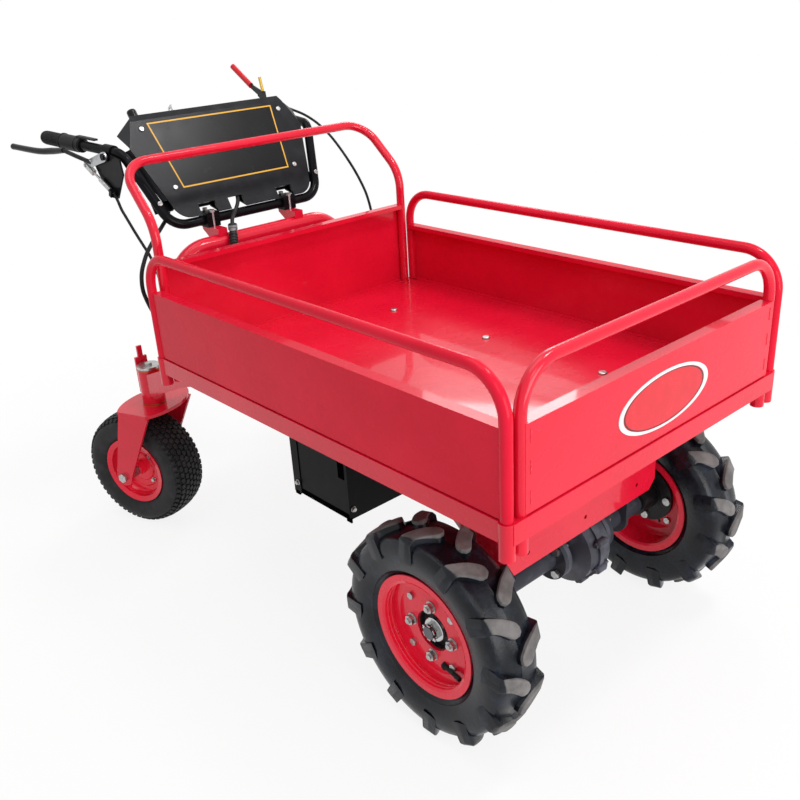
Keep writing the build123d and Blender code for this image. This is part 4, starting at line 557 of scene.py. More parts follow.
def tread_rubber():
    """Drive tyre rubber: fine knurl between the lugs, a bluish tint that is painted sheen, and grey, rubbed
    lug tops.
    """
    finish = Finish("farm_tread_rubber")
    middle = box_middle("left_drive_tyre")
    _, y, z = finish.axes()
    out_y = y - middle.y
    out_z = z - middle.z
    radius = (out_y * out_y + out_z * out_z) ** 0.5
    cloud = finish.noise(26.0, 5.0, roughness=0.6)
    rubbed = (radius + 0.003 * cloud).ramp(*(TREAD_RADIUS - depth for depth in RUBBED_BELOW_TOP))
    # Random dust patches, with a bluish tint throughout that is painted sheen.
    dust_and_sheen_tint = finish.blend(cloud.ramp(0.42, 0.75), colour(15, 18, 24), colour(36, 42, 53))
    worn = finish.blend(cloud.ramp(0.35, 0.7), colour(88, 86, 85), colour(122, 119, 118))
    finish.set(Base_Color=finish.blend(rubbed, dust_and_sheen_tint, worn))
    finish.set(Roughness=0.16 + 0.14 * cloud + 0.36 * rubbed)
    finish.set(Specular_IOR_Level=0.24)
    skin = finish.grains(520.0) + 1.5 * finish.noise(120.0, 3.0)
    finish.set(Normal=finish.bump(skin, 0.24, 0.0009))
    return finish.material


def lug_form():
    """One tread lug at the top of the left half: from a buttress on the shoulder forward to a round nose."""
    form = bmesh.new()
    bmesh.ops.create_grid(form, x_segments=14, y_segments=4, size=0.5)
    start, rise, bend = LUG_LEAD
    for corner in form.verts:
        along = corner.co.x + 0.5
        across = 2 * corner.co.y
        near_nose = max(0.0, (along - NOSE_FROM) / (1 - NOSE_FROM))
        near_foot = max(0.0, (FOOT_TO - along) / FOOT_TO)
        half = LUG_HALF_WIDTH * math.sqrt(max(0.0, 1 - NOSE_ROUND * near_nose ** 2))
        half *= 1 + FOOT_SPREAD * near_foot + NOSE_SPREAD * along
        axial = TREAD_HALF_WIDTH + (LUG_INNER_END - TREAD_HALF_WIDTH) * along
        lead = start + rise * along + bend * along ** 2
        slope = (rise + 2 * bend * along) / (TREAD_HALF_WIDTH - LUG_INNER_END)
        length = math.hypot(1, slope)
        axial = min(axial + across * half * slope / length, TREAD_HALF_WIDTH)
        lead += across * half / length
        crown = TREAD_RADIUS - CROWN_DROP * (axial / TREAD_HALF_WIDTH) ** 2
        shoulder = max(0.0, (axial - EDGE_FROM) / (TREAD_HALF_WIDTH - EDGE_FROM))
        corner.co = (axial, -lead, crown - EDGE_DROP * shoulder ** 2)
    roots = raised(form, list(form.faces))[0]
    for root in roots:
        buttress = max(0.0, (root.co.x - BUTTRESS_FROM) / (TREAD_HALF_WIDTH - BUTTRESS_FROM))
        root.co.z -= LUG_DEPTH + BUTTRESS_DEPTH * buttress
        root.co.y *= LUG_FLARE
    bmesh.ops.recalc_face_normals(form, faces=form.faces)
    top_edges = [edge for edge in form.edges if edge.calc_face_angle(0.0) > SOFT_EDGE_ANGLE and
                 min(end.co.z for end in edge.verts) > TREAD_RADIUS - SOFT_EDGE_DEPTH]
    soften(form, top_edges, offset=0.0018)
    return form


def lug_ring_form():
    """All the lugs of a left tyre: two rows, half a step apart."""
    single = bpy.data.meshes.new("one_lug")
    lug = lug_form()
    lug.to_mesh(single)
    lug.free()
    form = bmesh.new()
    step = 2 * math.pi / LUGS_EACH_SIDE
    for index in range(LUGS_EACH_SIDE):
        for facing, turn in ((1, index * step), (-1, (index + 0.5) * step)):
            start = len(form.verts)
            form.from_mesh(single)
            form.verts.ensure_lookup_table()
            place = Matrix.Rotation(turn, 4, "X") @ Matrix.Diagonal((facing, 1, 1, 1))
            bmesh.ops.transform(form, matrix=place, verts=form.verts[start:])
    bpy.data.meshes.remove(single)
    return form


def drive_tyres():
    """Casing and lugs of both drive tyres."""
    rubber = tread_rubber()
    for side, out in SIDES:
        place = Matrix.Translation(box_middle(side + "_drive_tyre")) @ Matrix.Diagonal((out, 1, 1, 1))
        casing = moved(ring_form(both_ways(CASING_HALF) + CASING_HOLLOW, steps=120), place)
        lugs = moved(lug_ring_form(), place)
        body = side + "_drive_wheel"
        shown = piece(side + "_tyre_casing", casing, "tyre_rubber", body, rubber, sharp=50)
        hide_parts(side + "_drive_tyre")
        piece(side + "_tyre_lugs", lugs, "tyre_rubber", body, rubber, sharp=38)


# Caster tyres: (axial, radius) points of the carcass from bead to shoulder and of its hollow, and the tread
CASTER_TURN = math.radians(21.5)
CASTER_SIDE = ((0.0405, 0.0767), (0.0425, 0.087), (0.0475, 0.0915), (0.0485, 0.0925), (0.0515, 0.101),
               (0.0545, 0.111), (0.055, 0.119), (0.0535, 0.127))
CASTER_TOP = (0.05, 0.044, 0.036, 0.024, 0.012, 0.0)
CASTER_HOLLOW = [(-0.0305, 0.0767), (0.0, 0.1217), (0.0305, 0.0767)]
CASTER_RADIUS = 0.1478
CASTER_TREAD_HALF_WIDTH = 0.05
CASTER_CROWN_DROP = 0.0115
TURF_DEPTH = 0.0045
TURF_ROWS = (-0.044, -0.032, -0.019, -0.0065, 0.0065, 0.019, 0.032, 0.044)
TURF_BLOCKS = 56
BLOCK_SIZE = (0.0098, 0.0125, 0.008)
EDGE_BLOCK_SIZE = (0.0098, 0.009, 0.008)
EDGE_ROWS_FROM = 0.04
BLOCK_SINK = 0.0041
BLOCK_LEAN = 0.22
EDGE_BLOCK_LEAN = 0.5
BLOCK_SKEW = 0.28
BLOCK_EDGE_ANGLE = 1.0


def caster_crown(axial):
    """Radius of the caster tyre's tread surface at a distance from its middle plane."""
    return CASTER_RADIUS - CASTER_CROWN_DROP * (abs(axial) / CASTER_TREAD_HALF_WIDTH) ** 2.6


def caster_place(side, out):
    """Where a caster's wheel stands, turned as the caster trails."""
    return Matrix.Translation(box_middle(side + "_caster_tyre")) @ Matrix.Rotation(-out * CASTER_TURN, 4, "Z")


def turf_blocks_form():
    """Rows of small blocks, each row shifted by half a block."""
    form = bmesh.new()
    step = 2 * math.pi / TURF_BLOCKS
    for row, axial in enumerate(TURF_ROWS):
        edge_row = abs(axial) > EDGE_ROWS_FROM
        lean = BLOCK_LEAN * axial / CASTER_TREAD_HALF_WIDTH
        if edge_row:
            lean += math.copysign(EDGE_BLOCK_LEAN, axial)
        size = Matrix.Diagonal((*(EDGE_BLOCK_SIZE if edge_row else BLOCK_SIZE), 1))
        lift = Matrix.Translation((axial, 0, caster_crown(axial) - BLOCK_SINK))
        skew = Matrix.Rotation(BLOCK_SKEW if row % 2 else -BLOCK_SKEW, 4, "Z")
        for index in range(TURF_BLOCKS):
            made = bmesh.ops.create_cube(form, size=1.0)
            turn = Matrix.Rotation((index + 0.5 * (row % 2)) * step, 4, "X")
            place = turn @ lift @ Matrix.Rotation(lean, 4, "Y") @ skew @ size
            bmesh.ops.transform(form, matrix=place, verts=made["verts"])
    edges = [edge for edge in form.edges if edge.calc_face_angle(0.0) > BLOCK_EDGE_ANGLE]
    soften(form, edges, offset=0.0008, segments=1)
    return form


def caster_tyres():
    """Casing and turf tread of both caster tyres."""
    top = [(axial, caster_crown(axial) - TURF_DEPTH) for axial in CASTER_TOP]
    outline = both_ways([*CASTER_SIDE, *top]) + CASTER_HOLLOW
    for side, out in SIDES:
        place = caster_place(side, out)
        body = side + "_caster_wheel"
        casing = moved(ring_form(outline, steps=96), place)
        blocks = moved(turf_blocks_form(), place)
        shown = piece(side + "_caster_casing", casing, "tyre_rubber", body, sharp=50)
        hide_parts(side + "_caster_tyre")
        piece(side + "_turf_blocks", blocks, "tyre_rubber", body, sharp=30)


# Caster rims: (axial, radius) points of the pressed dish, and its small bolts
DISH_FACE = ((0.0360, 0.0728), (0.0335, 0.0716), (0.0250, 0.0692), (0.0226, 0.0668), (0.0216, 0.0560),
             (0.0186, 0.0535), (0.0176, 0.0400), (0.0206, 0.0372), (0.0216, 0.0300), (0.0216, 0.0186))
DISH_SHEET = 0.002
DISH_BOLTS = 4
DISH_BOLT_CIRCLE = 0.0465
DISH_BOLT_FACE = 0.0182
DISH_BOLT_RADIUS = 0.003


def caster_dish_forms():
    """Dish of a caster rim's outer side with two steps and a raised middle, and its bolts."""
    back = [(axial - DISH_SHEET, radius) for axial, radius in reversed(DISH_FACE)]
    bolts = []
    for index in range(DISH_BOLTS):
        angle = (index + 0.5) * 2 * math.pi / DISH_BOLTS
        start = Matrix.Rotation(angle, 4, "X") @ Vector((DISH_BOLT_FACE, DISH_BOLT_CIRCLE, 0))
        bolts.append(bolt_form(start, start + Vector((1, 0, 0)), DISH_BOLT_RADIUS))
    return ring_form([*DISH_FACE, *back], steps=72), joined(bolts)


def caster_dishes():
    """Dishes on both sides of both caster rims."""
    for side, out in SIDES:
        place = caster_place(side, out)
        dishes = []
        bolts = []
        for facing in (1, -1):
            for form, kept in zip(caster_dish_forms(), (dishes, bolts)):
                kept.append(moved(form, place @ Matrix.Diagonal((facing, 1, 1, 1))))
        body = side + "_caster_wheel"
        piece(side + "_caster_dishes", joined(dishes), "red_paint", body, RIM_ENAMEL)
        piece(side + "_caster_bolts", joined(bolts), "zinc_steel", body)


# Drive wheel details, from the tyre's middle along the axle: (axial, Y, Z) places and (axial, radius) points
VALVE_FOOT = (0.015, -0.0283, -0.0592)
VALVE_TIP = (0.029, -0.078, -0.052)
VALVE_STEM = ((-0.002, 0.0), (-0.002, 0.0075), (0.003, 0.0075), (0.0045, 0.0058), (0.012, 0.0050),
              (0.030, 0.0042), (0.0325, 0.0042), (0.0325, 0.0034), (0.036, 0.0034), (0.036, 0.0046),
              (0.049, 0.0046), (0.0505, 0.0038), (0.0505, 0.0))
CROWN_TEETH = 6
TOOTH_SIZE = (0.0066, 0.0080, 0.0028)
TOOTH_MIDDLE = 0.0218
TOOTH_CIRCLE = 0.0138
PIN_MIDDLE = 0.0235
PIN_TURN = 0.52
PIN_HALF_LENGTH = 0.0185
SPLIT_PIN = ((0.0, 0.0), (0.0, 0.0022), (0.0025, 0.0022), (0.003, 0.0015), (0.0345, 0.0015),
             (0.0360, 0.0008), (0.0360, 0.0))
NUT_COLLAR = ((0.0095, 0.0140), (0.0095, 0.0226), (0.0118, 0.0226), (0.0128, 0.0214), (0.0128, 0.0140))
RIDGES = (0.0225, 0.0300)
RIDGE = ((-0.0020, 0.0990), (-0.0008, 0.0970), (0.0008, 0.0970), (0.0020, 0.0990))


def wheel_details():
    """Valve stems, castle crowns with their split pins, and the ridges inside the drive rims."""
    for side, out in SIDES:
        middle = box_middle(side + "_drive_tyre")
        place = Matrix.Translation(middle) @ Matrix.Diagonal((out, 1, 1, 1))
        body = side + "_drive_wheel"
        valve = turned_form(VALVE_STEM, place @ Vector(VALVE_FOOT), place @ Vector(VALVE_TIP))
        piece(side + "_valve_stem", valve, "black_rubber", body)

        crown = []
        for index in range(CROWN_TEETH):
            turn = Matrix.Rotation(index * 2 * math.pi / CROWN_TEETH, 4, "X")
            foot = Matrix.Translation(place @ Vector((TOOTH_MIDDLE, 0, 0)))
            place_on_nut = foot @ turn @ Matrix.Translation((0, 0, TOOTH_CIRCLE))
            crown.append(bar_form(TOOTH_SIZE, place_on_nut, softness=0.0006))
        centre = place @ Vector((PIN_MIDDLE, 0, 0))
        lean = Vector((0, math.cos(PIN_TURN), math.sin(PIN_TURN))) * PIN_HALF_LENGTH
        crown.append(turned_form(SPLIT_PIN, centre - lean, centre + lean, steps=16))
        crown.append(moved(ring_form(NUT_COLLAR, steps=48), place))
        piece(side + "_castle_crown", joined(crown), "bright_metal", body)

        ridges = bmesh.new()
        for ridge in RIDGES:
            spin_outline(ridges, [(ridge + axial, radius) for axial, radius in RIDGE], steps=96)
        piece(side + "_rim_ridges", moved(ridges, place), "red_paint", body, RIM_ENAMEL, sharp=60)


# Hand grips: (along, radius) points, and the handle they sit on
GRIP_FLANGE = [(0.0, 0.0), (0.0, 0.0190), (0.0035, 0.0194), (0.0055, 0.0185), (0.0070, 0.0158)]
GRIP_RIB = ((0.0, 0.0152), (0.0010, 0.0163), (0.0034, 0.0163), (0.0044, 0.0152))
GRIP_END = [(0.0765, 0.0158), (0.0805, 0.0150), (0.0825, 0.0130), (0.0832, 0.0090), (0.0835, 0.0)]
GRIP_RIBS = 12
GRIP_RIBS_FROM = 0.0095
GRIP_RIB_STEP = 0.0054
HANDLE_BEND = (0.256, 1.240, 0.911)
HANDLE_END = (0.299, 1.541, 0.932)
GRIP_PAST_BEND = 0.226


def ribbed_grips():
    """Both rubber grips with a flange, a row of ribs and a round end."""
    ribs = [(GRIP_RIBS_FROM + GRIP_RIB_STEP * index + along, radius)
            for index in range(GRIP_RIBS) for along, radius in GRIP_RIB]
    forms = []
    for _, out in SIDES:
        bend = mirrored(out, HANDLE_BEND)
        end = mirrored(out, HANDLE_END)
        start = bend + GRIP_PAST_BEND * (end - bend).normalized()
        forms.append(turned_form(GRIP_FLANGE + ribs + GRIP_END, start, end, steps=40))
    shown = piece("ribbed_grips", joined(forms), "black_rubber", "chassis", sharp=50)
    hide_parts("handle_grips")


# Brake lever blade: its line's corners with a radius at each, and (past the end, radius) of its round end
BLADE_CORNERS = ((-0.3190, 1.4050, 0.9150), (-0.3270, 1.4510, 0.9110), (-0.3410, 1.5050, 0.9090),
                 (-0.3610, 1.5950, 0.9150))
BLADE_RADII = (0.0062, 0.0078, 0.0074, 0.0070)
BLADE_END = ((0.0, 0.0074), (0.003, 0.0074), (0.0055, 0.0062), (0.0070, 0.0042), (0.0076, 0.0020))
BLADE_STEPS = 8


def tube_form(points, radii, steps=20):
    """A closed bar through a row of points, with a radius at each."""
    form = bmesh.new()
    rings = []
    for index, (point, radius) in enumerate(zip(points, radii)):
        ahead = points[min(index + 1, len(points) - 1)] - points[max(index - 1, 0)]
        place = Matrix.Translation(point) @ ahead.to_track_quat("Z", "X").to_matrix().to_4x4()
        rings.append(bmesh.ops.create_circle(form, segments=steps, radius=radius, matrix=place)["verts"])
    for first, second in zip(rings, rings[1:]):
        for index in range(steps):
            form.faces.new((first[index - 1], first[index], second[index], second[index - 1]))
    form.faces.new(rings[0])
    form.faces.new(rings[-1])
    return form


def brake_blade():
    """Thick dipped sleeve over the brake lever's blade, along a smooth curve through its corners."""
    corners = [from_bed(*corner) for corner in BLADE_CORNERS]
    padded = [corners[0], *corners, corners[-1]]
    points = []
    radii = []
    for index in range(len(corners) - 1):
        before, first, second, after = padded[index:index + 4]
        for step in range(BLADE_STEPS):
            t = step / BLADE_STEPS
            square = (2 * before - 5 * first + 4 * second - after) * t ** 2
            cube = (3 * first - before - 3 * second + after) * t ** 3
            points.append(0.5 * (2 * first + (second - before) * t + square + cube))
            radii.append(BLADE_RADII[index] + (BLADE_RADII[index + 1] - BLADE_RADII[index]) * t)
    run = (corners[-1] - points[-1]).normalized()
    for past, radius in BLADE_END:
        points.append(corners[-1] + past * run)
        radii.append(radius)
    piece("brake_blade", tube_form(points, radii), "glossy_plastic", "brake_hand_lever", sharp=60)


# Blank badge on the front panel: its middle as (across, height), and its insets as (thickness, depth)
BADGE_MIDDLE = (0.002, 0.594)
BADGE_HALF = (0.124, 0.049)
BADGE_PLATE = 0.0016
BADGE_INSETS = ((0.0007, 0.0003), (0.0042, 0.0), (0.0006, -0.0007))
BADGE_SINK = 0.0002


def badge_enamel():
    """Red field with a dark line and a pale rim round it, following the badge's oval."""
    finish = Finish("badge_enamel")
    x, _, z = finish.axes()
    wide = (x - BADGE_MIDDLE[0]) * (1 / BADGE_HALF[0])
    high = (z - BADGE_MIDDLE[1]) * (1 / BADGE_HALF[1])
    oval = (wide * wide + high * high) ** 0.5
    cloud = finish.noise(40.0, 4.0)
    field = finish.blend(cloud.ramp(0.4, 0.7), colour(206, 16, 34), colour(216, 22, 40))
    lined = finish.blend(oval.within(0.865, 0.895, 0.006), field, colour(60, 16, 22))
    finish.set(Base_Color=finish.blend(oval.ramp(0.90, 0.915), lined, colour(232, 226, 226)))
    finish.set(Roughness=0.2 + 0.12 * cloud)
    return finish.material


def badge():
    """A thin oval plate with a raised rim and nothing printed on it."""
    form = bmesh.new()
    bmesh.ops.create_circle(form, cap_ends=True, radius=1.0, segments=96, matrix=Matrix.Identity(4))
    bmesh.ops.scale(form, vec=(*BADGE_HALF, 1.0), verts=form.verts)
    corners, face = raised(form, form.faces[:])
    bmesh.ops.translate(form, vec=(0, 0, BADGE_PLATE), verts=corners)
    for thickness, depth in BADGE_INSETS:
        bmesh.ops.inset_region(form, faces=face, thickness=thickness, depth=depth)
    across, height = BADGE_MIDDLE
    place = Matrix.Translation((across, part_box("front_panel")[0][1] + BADGE_SINK, height))
    moved(form, place @ Matrix.Rotation(math.pi / 2, 4, "X"))
    piece("blank_badge", form, "red_paint", "front_gate", badge_enamel())


# Instruments, placed on the console's top panel as (across, back, out)
PANEL_ORIGIN = from_bed(0, 1.3196, 0.9588)
PANEL_AXES = Matrix(((1, 0, 0), (0, 0.8204, -0.5718), (0, 0.5718, 0.8204))).transposed().to_4x4()
WINDOW_SIZE = (0.0536, 0.0276, 0.0010)
WINDOW_PLACE = (0.040, 0, 0.0027)
LAMP_SIZE = (0.0034, 0.0120, 0.0012)
FIRST_LAMP = (0.0612, 0.002, 0.0031)
LAMP_STEP = 0.0047
LAMPS = (("red", colour(150, 14, 16), colour(190, 24, 24), range(0, 2)),
         ("amber", colour(180, 110, 10), colour(214, 140, 20), range(2, 4)),
         ("green", colour(20, 120, 34), colour(32, 156, 48), range(4, 10)))
POINTER_SIZE = (0.0016, 0.0075, 0.0010)
POINTER_PLACE = (-0.184, -0.0285, 0.0220)


def on_panel(across, back, out):
    """A place on the console's instrument panel as a matrix."""
    return Matrix.Translation(PANEL_ORIGIN) @ PANEL_AXES @ Matrix.Translation((across, back, out))


def lamp_plastic(name, dark, light):
    """Clear coloured plastic of a gauge lamp."""
    finish = Finish(name)
    finish.set(Base_Color=finish.blend(finish.noise(300.0, 2.0), dark, light))
    finish.set(Roughness=0.15, Coat_Weight=0.4)
    return finish.material


def instruments():
    """Dark window and lamp bars of the charge gauge, and the pointer on the direction knob."""
    window = bar_form(WINDOW_SIZE, on_panel(*WINDOW_PLACE), softness=0.0003)
    piece("gauge_window", window, "glossy_plastic", "chassis")
    across, back, out = FIRST_LAMP
    for name, dark, light, places in LAMPS:
        forms = [bar_form(LAMP_SIZE, on_panel(across - LAMP_STEP * place, back, out), softness=0.0004)
                 for place in places]
        plastic = lamp_plastic("gauge_" + name, dark, light)
        piece("gauge_lamps_" + name, joined(forms), "glossy_plastic", "chassis", plastic)
    pointer = bar_form(POINTER_SIZE, on_panel(*POINTER_PLACE), softness=0.0003)
    pale = moulded_plastic("pale_pointer", colour(206, 206, 204), colour(222, 222, 220), 0.4)
    piece("knob_pointer", pointer, "grey_plastic", "direction_switch", pale)


# Battery box and frame trim. Places are (across, behind, height) on the machine's left.
BOX_BOLT_RADIUS = 0.003
BOX_SIDE_BOLTS = ((0.224, 0.7366, 0.2572), (0.224, 0.7366, 0.4050))
BOX_FRONT_BOLT = (0.2120, 0.565, 0.2543)
SLOT_PLACE = (0.2221, 0.583, 0.342)
SLOT_SIZE = (0.0012, 0.0150, 0.0360)
SLOT_LIPS = (((0, 0.0083, 0), (0.0024, 0.0016, 0.0390)),
             ((0, -0.0083, 0), (0.0024, 0.0016, 0.0390)),
             ((0, 0, 0.0192), (0.0024, 0.0182, 0.0016)),
             ((0, 0, -0.0192), (0.0024, 0.0182, 0.0016)))
# A strip of painted shade stands for the recess along the foot of the box's sides.
RECESS_SHADE_PLACE = (0.2226, 0.6475, 0.2385)
RECESS_SHADE_SIZE = (0.0026, 0.1590, 0.0110)
BOX_FEET = ((0.2205, 0.5690, 0.2310), (0.2225, 0.7420, 0.2310))
BOX_FOOT_SIZE = (0.0040, 0.0160, 0.0100)
GUSSET_OUTLINE = ((0.150, 0.306), (0.205, 0.306), (0.330, 0.405), (0.330, 0.433), (0.150, 0.433))
GUSSET_ACROSS = 0.2195
GUSSET_THICKNESS = 0.004


def box_bolts():
    """Bolts on the lower corners of the battery box."""
    forms = []
    for _, out in SIDES:
        faces = [(place, (out, 0, 0)) for place in BOX_SIDE_BOLTS] + [(BOX_FRONT_BOLT, (0, -1, 0))]
        for place, face in faces:
            start = mirrored(out, place)
            forms.append(bolt_form(start, start + Vector(face), BOX_BOLT_RADIUS))
    piece("box_bolts", joined(forms), "zinc_steel", "chassis")


def plate_form(outline, across, thickness, softness):
    """An upright plate with an outline of (behind, height) points, thickened towards the middle."""
    form = bmesh.new()
    corners = [form.verts.new(from_bed(across, behind, height)) for behind, height in outline]
    grown = raised(form, [form.faces.new(corners)])[0]
    bmesh.ops.translate(form, vec=(-math.copysign(thickness, across), 0, 0), verts=grown)
    bmesh.ops.recalc_face_normals(form, faces=form.faces)
    soften(form, form.edges[:], softness)
    return form


def front_gussets():
    """Plates that tie the front plate to the rails beside the drive wheels."""
    forms = [plate_form(GUSSET_OUTLINE, out * GUSSET_ACROSS, GUSSET_THICKNESS, softness=0.0008)
             for _, out in SIDES]
    piece("front_gussets", joined(forms), "red_paint", "chassis")


def box_slots():
    """Dark bars of painted shade at the hand slots in the sides of the battery box, each with a lip round it
    in the same unlit black.
    """
    forms = []
    for _, out in SIDES:
        slot = mirrored(out, SLOT_PLACE)
        forms.append(bar_form(SLOT_SIZE, slot, softness=0.0005))
        forms += [bar_form(size, slot + Vector(lip), softness=0.0004) for lip, size in SLOT_LIPS]
    piece("box_slots", joined(forms), "black_paint", "chassis", HOLE_SHADE)


def box_recess_shade_and_feet():
    """A dark strip of painted shade where the foot of the battery box's sides is recessed, and a foot under
    each corner, all in the same unlit black.
    """
    forms = []
    for _, out in SIDES:
        forms.append(bar_form(RECESS_SHADE_SIZE, mirrored(out, RECESS_SHADE_PLACE), softness=0.0008))
        forms += [bar_form(BOX_FOOT_SIZE, mirrored(out, foot), softness=0.0010) for foot in BOX_FEET]
    piece("box_recess_shade_and_feet", joined(forms), "black_paint", "chassis", HOLE_SHADE)


# Gear case bosses: (along, radius) points of one, and where they stand
CASE_JOINT = from_bed(0.055, 0.221, 0.202)
BOSS = ((0.0, 0.0), (0.0, 0.0072), (0.0014, 0.0085), (0.0226, 0.0085), (0.0240, 0.0072), (0.0240, 0.0))
BOSS_HALF_LENGTH = 0.012
BOSS_CIRCLE = 0.0755
BOSS_ANGLES = (67.5, 112.5, 157.5, 202.5, 247.5, 292.5)
BOSS_BOLT_RADIUS = 0.0032


def case_bosses():
    """Bolted bosses round the joint of the gear case's two halves, clear of the motor's neck."""
    half = Vector((BOSS_HALF_LENGTH, 0, 0))
    forms = []
    for degrees in BOSS_ANGLES:
        angle = math.radians(degrees)
        middle = CASE_JOINT + BOSS_CIRCLE * Vector((0, math.cos(angle), math.sin(angle)))
        forms.append(turned_form(BOSS, middle - half, middle + half, steps=24))
        forms += [bolt_form(middle + end, middle + 2 * end, BOSS_BOLT_RADIUS) for end in (half, -half)]
    piece("case_bosses", joined(forms), "black_casting", "chassis")


# Welds
ARCH_FOOT = (0.235, 1.118, 0.4502)
ARCH_WELD_RADIUS = 0.0215
ARCH_WELD_DROPS = 48
ARCH_WELD_SIZE = 0.0028
PANEL_WELD_PLACES = {
    "front_gate": ((0.3235, 0.0036), (-0.3235, 0.0036)),
    "rear_gate": ((0.3235, 0.9964), (-0.3235, 0.9964)),
    "left_side": ((0.3664, 0.0185), (0.3664, 0.9815)),
    "right_side": ((-0.3664, 0.0185), (-0.3664, 0.9815)),
}
PANEL_WELD_FEET = (0.542, 0.590, 0.638)
PANEL_WELD_DROPS = 10
PANEL_WELD_STEP = 0.0022
PANEL_WELD_SIZE = 0.0019


def weld_form(points, drop):
    """A row of overlapping weld drops."""
    form = bmesh.new()
    for point in points:
        bmesh.ops.create_uvsphere(form, u_segments=8, v_segments=5, radius=drop,
                                  matrix=Matrix.Translation(point))
    return form


def arch_welds():
    """Welds where the handlebar arch stands on the rear beam."""
    turns = [2 * math.pi * index / ARCH_WELD_DROPS for index in range(ARCH_WELD_DROPS)]
    around = [ARCH_WELD_RADIUS * Vector((math.cos(turn), math.sin(turn), 0)) for turn in turns]
    forms = [weld_form([mirrored(out, ARCH_FOOT) + step for step in around], ARCH_WELD_SIZE)
             for _, out in SIDES]
    piece("arch_welds", joined(forms), "red_paint", "chassis", sharp=60)


def panel_welds():
    """Short welds between each panel's sheet and its two stakes."""
    for body, places in PANEL_WELD_PLACES.items():
        points = [from_bed(*place, foot + PANEL_WELD_STEP * step) for place in places
                  for foot in PANEL_WELD_FEET for step in range(PANEL_WELD_DROPS)]
        piece(body + "_welds", weld_form(points, PANEL_WELD_SIZE), "red_paint", body, sharp=60)


# Studio: the rays that see a white room, the lamps as (name, place, size, watts), and the photograph's camera
CLEAR_RAYS = ("Camera", "Glossy", "Transmission")
ROOM_LIGHT = 0.54
FLOOR_HALF_SIZE = 30.0
FLOOR_GLOW = 0.86
FLOOR_CLEAR_FROM = (0.9, 1.9)
LAMP_TARGET = Vector((0, 0, 0.5))
STUDIO_LAMPS = (
    ("front_lamp", (0.0, -4.3, 1.2), 2.4, 88.0),
    ("key_lamp", (-1.2, -3.2, 3.4), 1.2, 18.0),
    ("sheen_lamp", (0.95, -1.25, 3.78), 0.7, 40.0),
    ("console_lamp", (1.21, -1.07, 3.1), 0.3, 6.0),
    ("top_lamp", (-0.6, 0.2, 4.2), 2.4, 36.0),
    ("back_lamp", (1.97, 1.38, 2.24), 0.8, 16.0),
)
PICTURE_SIZE = 800
FOCAL_PIXELS = 917.15
SENSOR_WIDTH = 36.0
VIEW_DISTANCE = 100.0
CAMERA_PLACE = from_bed(-1.1807, -0.7252, 1.2100)
CAMERA_AZIMUTH = math.radians(-40.727)
CAMERA_ELEVATION = math.radians(24.099)
CAMERA_ROLL = math.radians(-3.481)


def floor_finish():
    """Pale floor that looks white to the camera and still keeps a soft shadow."""
    finish = Finish("pale_floor")
    finish.set(Base_Color=finish.blend(finish.noise(3.0), (0.86, 0.86, 0.86, 1), (0.88, 0.88, 0.88, 1)))
    finish.set(Roughness=0.9, Specular_IOR_Level=0.0)
    rays = finish.node("ShaderNodeLightPath")
    straight, mirror, through = (Value(finish, rays.outputs["Is %s Ray" % kind]) for kind in CLEAR_RAYS)
    seen = straight.most(mirror).most(through)
    x, y, _ = finish.axes()
    away = (x * x + y * y) ** 0.5
    share = FLOOR_GLOW + (1 - FLOOR_GLOW) * away.ramp(*FLOOR_CLEAR_FROM)
    glow = finish.node("ShaderNodeEmission", None, {"Color": (1, 1, 1, 1), "Strength": 1.0})
    mixed = finish.node("ShaderNodeMixShader", None, {0: seen * share,
                                                      1: finish.shader.outputs[0], 2: glow.outputs[0]})
    finish.feed(finish.tree.nodes["Material Output"].inputs["Surface"], mixed.outputs[0])
    return finish.material


def studio_floor():
    """A wide floor that is not part of the machine."""
    form = bmesh.new()
    bmesh.ops.create_grid(form, x_segments=1, y_segments=1, size=FLOOR_HALF_SIZE)
    mesh = bpy.data.meshes.new("studio_floor")
    form.to_mesh(mesh)
    form.free()
    mesh.materials.append(floor_finish())
    floor = bpy.data.objects.new("studio_floor", mesh)
    bpy.context.collection.objects.link(floor)


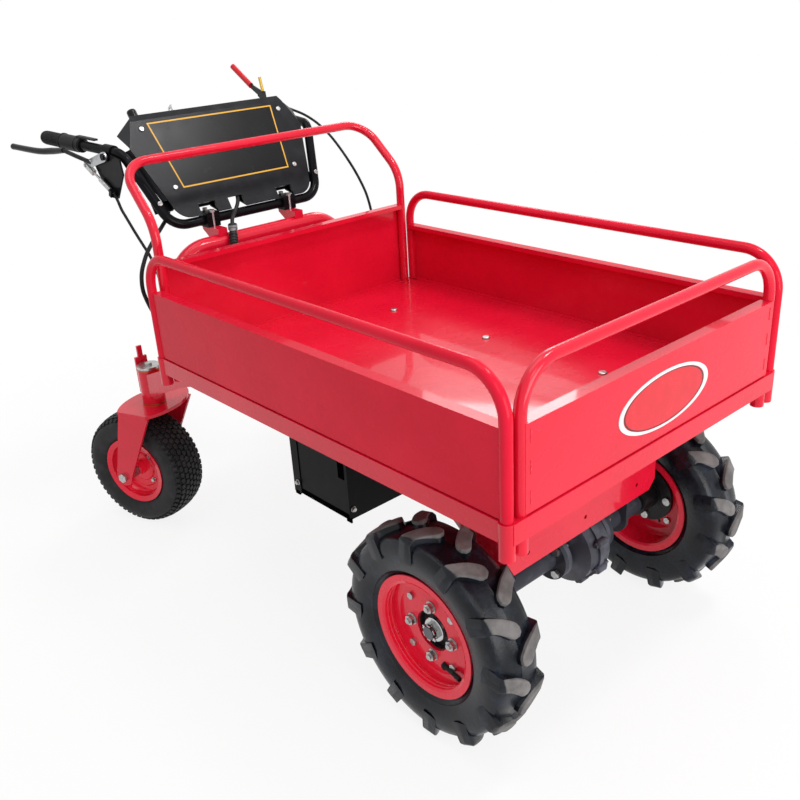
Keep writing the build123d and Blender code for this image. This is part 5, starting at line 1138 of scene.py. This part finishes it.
def studio_world():
    """A plain white room, dimmer as a light than it looks."""
    world = bpy.data.worlds.new("studio_world")
    bpy.context.scene.world = world
    world.use_nodes = True
    tree = world.node_tree
    sky = tree.nodes["Background"]
    sky.inputs["Color"].default_value = (1, 1, 1, 1)
    rays = tree.nodes.new("ShaderNodeLightPath")
    seen = rays.outputs["Is %s Ray" % CLEAR_RAYS[0]]
    for kind in CLEAR_RAYS[1:]:
        either = tree.nodes.new("ShaderNodeMath")
        either.operation = "MAXIMUM"
        tree.links.new(seen, either.inputs[0])
        tree.links.new(rays.outputs["Is %s Ray" % kind], either.inputs[1])
        seen = either.outputs[0]
    strength = tree.nodes.new("ShaderNodeMapRange")
    strength.inputs["To Min"].default_value = ROOM_LIGHT
    strength.inputs["To Max"].default_value = 1.0
    tree.links.new(seen, strength.inputs["Value"])
    tree.links.new(strength.outputs["Result"], sky.inputs["Strength"])


def studio_lamps():
    """Soft lamps that all face the machine."""
    for name, place, size, watts in STUDIO_LAMPS:
        lamp = bpy.data.lights.new(name, "AREA")
        lamp.size = size
        lamp.energy = watts
        holder = bpy.data.objects.new(name, lamp)
        holder.location = place
        holder.rotation_euler = (LAMP_TARGET - Vector(place)).to_track_quat("-Z", "Y").to_euler()
        bpy.context.collection.objects.link(holder)


def photo_camera():
    """The photograph's camera."""
    level = Vector((math.cos(CAMERA_AZIMUTH), math.sin(CAMERA_AZIMUTH), 0))
    flat = math.cos(CAMERA_ELEVATION)
    back = Vector((math.sin(CAMERA_AZIMUTH) * flat, -math.cos(CAMERA_AZIMUTH) * flat,
                   math.sin(CAMERA_ELEVATION)))
    upright = back.cross(level)
    right = math.cos(CAMERA_ROLL) * level + math.sin(CAMERA_ROLL) * upright
    up = -math.sin(CAMERA_ROLL) * level + math.cos(CAMERA_ROLL) * upright
    camera = bpy.data.objects.new("photo_camera", bpy.data.cameras.new("photo_camera"))
    camera.data.sensor_width = SENSOR_WIDTH
    camera.data.lens = FOCAL_PIXELS / PICTURE_SIZE * SENSOR_WIDTH
    camera.data.clip_end = VIEW_DISTANCE
    camera.matrix_world = Matrix.Translation(CAMERA_PLACE) @ Matrix((right, up, back)).transposed().to_4x4()
    bpy.context.collection.objects.link(camera)
    bpy.context.scene.camera = camera
    bpy.context.scene.view_settings.view_transform = "Standard"


drive_tyres()
caster_tyres()
caster_dishes()
wheel_details()
ribbed_grips()
brake_blade()
badge()
instruments()
box_bolts()
front_gussets()
box_slots()
box_recess_shade_and_feet()
case_bosses()
arch_welds()
panel_welds()
studio_floor()
studio_world()
studio_lamps()
photo_camera()
